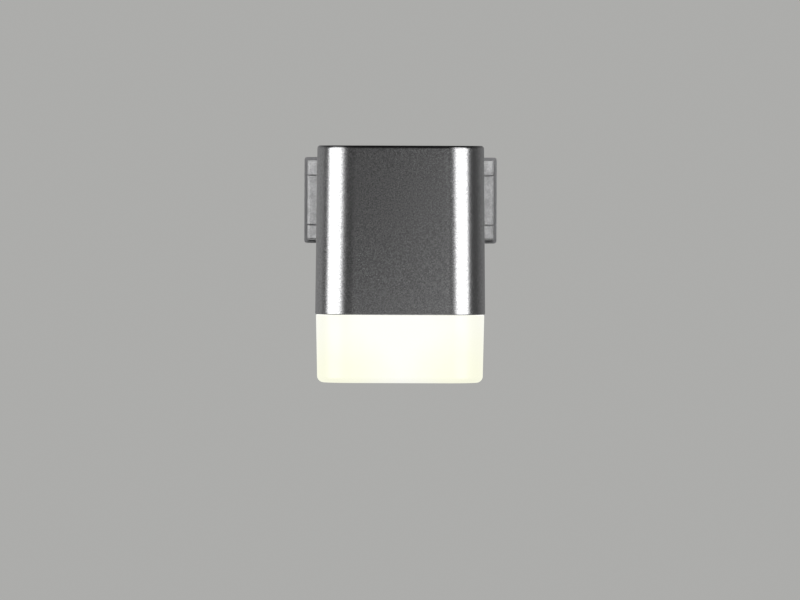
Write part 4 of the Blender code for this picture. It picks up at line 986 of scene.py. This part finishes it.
def capacitors(materials, smoother):
    """Sleeved cans with a rolled groove above the foot and a scored vent in the top."""
    for node in ("input_capacitor", "output_capacitor"):
        low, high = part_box(node)
        centre = centreline(node, "Z")
        radius = box_radius(node)
        groove = low.z + CAN_GROOVE_RISE
        stations = [
            (radius - CAN_FOOT_CHAMFER, low.z),
            (radius, low.z + CAN_FOOT_CHAMFER),
            (radius, groove - 0.6 * MM),
        ]
        for step in range(9):
            angle = step * math.pi / 8
            across = radius - CAN_GROOVE_DEPTH * math.sin(angle)
            stations.append((across, groove - CAN_GROOVE_HALF * math.cos(angle)))
        for falling, growing in quarter_round(CAN_EDGE, 5):
            stations.append((radius - growing, high.z - falling))
        stations += [
            (radius - SLEEVE_LAP, high.z),
            (radius - SLEEVE_LAP - 0.1 * MM, high.z - SLEEVE_THICKNESS),
        ]
        piece = turned(node + "_can", stations, "Z", centre)
        reach = radius - 2 * SLEEVE_LAP
        vent_floor = high.z - VENT_DEPTH
        vent = cross("Z", centre, reach, VENT_HALF_WIDTH, vent_floor, high.z + VENT_HALF_WIDTH)
        carve(piece, "DIFFERENCE", *vent)
        soften(piece, smoother, 0.0)
        finished(piece, "head", "capacitor_sleeve", materials, node)


def choke(materials, smoother):
    """A drum core wound with enamelled wire."""
    low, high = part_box("choke")
    radius = box_radius("choke")
    bottom = low.z + CHOKE_FLANGE
    top = high.z - CHOKE_FLANGE
    stations = [(radius - RIM_CHAMFER, low.z), (radius, low.z + RIM_CHAMFER), (radius, bottom)]
    for turn in range(round((top - bottom) / CHOKE_WIRE)):
        start = bottom + turn * CHOKE_WIRE
        for step in range(5):
            angle = step * math.pi / 4
            across = radius - CHOKE_SINK + CHOKE_WIRE / 2 * math.sin(angle)
            stations.append((across, start + CHOKE_WIRE / 2 * (1 - math.cos(angle))))
    stations += [(radius, top), (radius, high.z - RIM_CHAMFER), (radius - RIM_CHAMFER, high.z)]
    piece = turned("wound_choke", stations, "Z", centreline("choke", "Z"))
    soften(piece, smoother, 0.0)
    finished(piece, "head", "copper", materials, "choke")


def dress_cad_nodes(materials, smoother):
    """CAD solids that keep their shape: softened edges and a real material."""
    for part in frame["record"]["subparts"]:
        node = frame["nodes"][part["node"]]
        if node.hide_render:
            continue
        if not node.material_slots:
            node.data.materials.append(materials[part["material_slot"]])
        for slot in node.material_slots:
            slot.material = materials[part["material_slot"]]
        if part["node"] in CABLES:
            round_cable(node)
        else:
            soften(node, smoother, SOFT_EDGE, merge=True)


def round_cable(node):
    """Round off a CAD tube's flats."""
    weld = node.modifiers.new("weld", "WELD")
    weld.merge_threshold = WELD_DISTANCE
    rounding = node.modifiers.new("rounding", "SUBSURF")
    rounding.levels = 2
    rounding.render_levels = 2
    node.data.shade_smooth()


# ---------------------------------------------------------------- studio

def towards(azimuth, elevation):
    """A direction from the object: azimuth 0 is towards the camera, positive to its right."""
    turn = math.radians(azimuth)
    rise = math.radians(elevation)
    level = math.cos(rise)
    return Vector((math.sin(turn) * level, -math.cos(turn) * level, math.sin(rise)))


def softbox(name, left, right, bottom, top, distance, radiance, reflected=True, lighting=True):
    """An area light that fills a window of directions, from azimuth left to right."""
    middle = towards((left + right) / 2, (bottom + top) / 2)
    data = bpy.data.lights.new(name, "AREA")
    data.shape = "RECTANGLE"
    data.size = 2 * distance * math.tan(math.radians((right - left) / 2))
    data.size_y = 2 * distance * math.tan(math.radians((top - bottom) / 2))
    data.energy = radiance * math.pi * data.size * data.size_y
    light = bpy.data.objects.new(name, data)
    light.location = OBJECT_CENTRE + middle * distance
    light.rotation_euler = middle.to_track_quat("Z", "Y").to_euler()
    light.visible_camera = False
    light.visible_glossy = reflected
    light.visible_diffuse = lighting
    bpy.context.scene.collection.objects.link(light)


def lights():
    """Strips seen only as reflections, and fills that light paint and plastic but aren't reflected."""
    far = SOFTBOX_DISTANCE
    softbox("left_softbox", -86, -42, -28, 14, far, 2.3, lighting=False)
    softbox("left_feather", -42, -36, -28, 14, far, 0.9, lighting=False)
    softbox("left_upper", -84, -46, 14, 50, far, 1.1, lighting=False)
    softbox("right_softbox", 30.5, 69, -28, 14, far, 2.3, lighting=False)
    softbox("right_feather", 26, 30.5, -28, 14, far, 0.6, lighting=False)
    softbox("right_upper", 34, 68, 14, 50, far, 1.1, lighting=False)
    softbox("front_fill", -14, 14, 2, 45, far, 7.8, reflected=False)
    softbox("low_card", -9, 9, -24, -6, 0.8, 0.6)
    softbox("right_card", 2, 14, -12, 14, 0.35, 0.14)
    softbox("rear_fill", 130, 230, 30, 80, far, 1.5, reflected=False)


def world():
    """The camera sees a plain backdrop; surfaces see a dim studio, darker in front and above."""
    place = bpy.data.worlds.new("studio")
    place.use_nodes = True
    graph = Graph(place.node_tree)
    direction = graph.add("TexCoord").outputs["Generated"]
    x, y, z = graph.add("SeparateXYZ", {0: direction}).outputs
    left = graph.ramp(y, 0.15, 0.45, WORLD_FRONT, WORLD_LEFT)
    right = graph.ramp(y, 0.0, 0.85, WORLD_FRONT, WORLD_RIGHT)
    sides = graph.add("Mix", {0: graph.ramp(x, -0.2, 0.2, 0.0, 1.0), 2: left, 3: right}).outputs[0]
    studio = graph.calc("MULTIPLY", sides, graph.ramp(z, 0.05, 0.75, 1.0, WORLD_TOP_SHARE))
    camera_ray = graph.add("LightPath").outputs["Is Camera Ray"]
    colour = graph.mix(camera_ray, studio, (*BACKDROP, 1))
    graph.feed(graph.tree.nodes["Background"].inputs["Color"], colour)
    bpy.context.scene.world = place


def floor():
    """A pale disc that glows a little; it is clear from below, so that it never hides the object."""
    shape = bmesh.new()
    rim = circle((0, 0), FLOOR_RADIUS, FLOOR_SIDES)
    shape.faces.new([shape.verts.new((x, y, FLOOR_Z)) for x, y in rim])
    mesh = bpy.data.meshes.new("floor")
    shape.to_mesh(mesh)
    shape.free()
    surface = Finish("floor")
    clouds = surface.noise(3, 2.0)
    surface.set(
        Base_Color=surface.mix(clouds, (0.50, 0.50, 0.49, 1), (0.53, 0.53, 0.52, 1)),
        Roughness=0.9,
        Emission_Color=(1.0, 1.0, 0.98, 1),
        Emission_Strength=FLOOR_GLOW,
    )
    below = surface.add("NewGeometry").outputs["Backfacing"]
    clear = surface.add("BsdfTransparent").outputs["BSDF"]
    seen = surface.add("MixShader", {0: below, 1: surface.shader.outputs["BSDF"], 2: clear})
    surface.feed(surface.tree.nodes["Material Output"].inputs["Surface"], seen.outputs["Shader"])
    mesh.materials.append(surface.material)
    ground = bpy.data.objects.new("floor", mesh)
    bpy.context.scene.collection.objects.link(ground)
    ground.visible_glossy = False
    ground.visible_diffuse = False


def camera():
    """A distant eye that looks a little down; its lens frames the head's side plane."""
    data = bpy.data.cameras.new("camera")
    data.sensor_width = SENSOR_WIDTH
    data.lens = SENSOR_WIDTH * (CAMERA_DISTANCE + HEAD_SIDE_Y) / FRAME_WIDTH_AT_HEAD
    data.clip_end = 100.0
    eye = bpy.data.objects.new("camera", data)
    eye.location = (CAMERA_X, -CAMERA_DISTANCE, CAMERA_Z)
    pitch = math.atan2(CAMERA_Z - AIM_Z, CAMERA_DISTANCE)
    eye.rotation_euler = (math.pi / 2 - pitch, CAMERA_ROLL, 0.0)
    bpy.context.scene.collection.objects.link(eye)
    bpy.context.scene.camera = eye
    bpy.context.scene.view_settings.view_transform = "Standard"


def main():
    camera()
    world()
    lights()
    floor()
    materials = make_materials()
    smoother = smooth_by_angle()
    head_shell(materials, smoother)
    diffuser(materials, smoother)
    screws(materials, smoother)
    swivel(materials, smoother)
    cam("locking_cam_bar", "locking_cam", "locking_cam_pinion", "left_cam", "zinc", materials, smoother)
    cam(
        "contact_cam_bar", "contact_cam", "contact_cam_pinion", "right_cam", "white_plastic",
        materials, smoother,
    )
    tongue_cap(materials, smoother)
    led_emitters(materials, smoother)
    capacitors(materials, smoother)
    choke(materials, smoother)
    dress_cad_nodes(materials, smoother)


main()
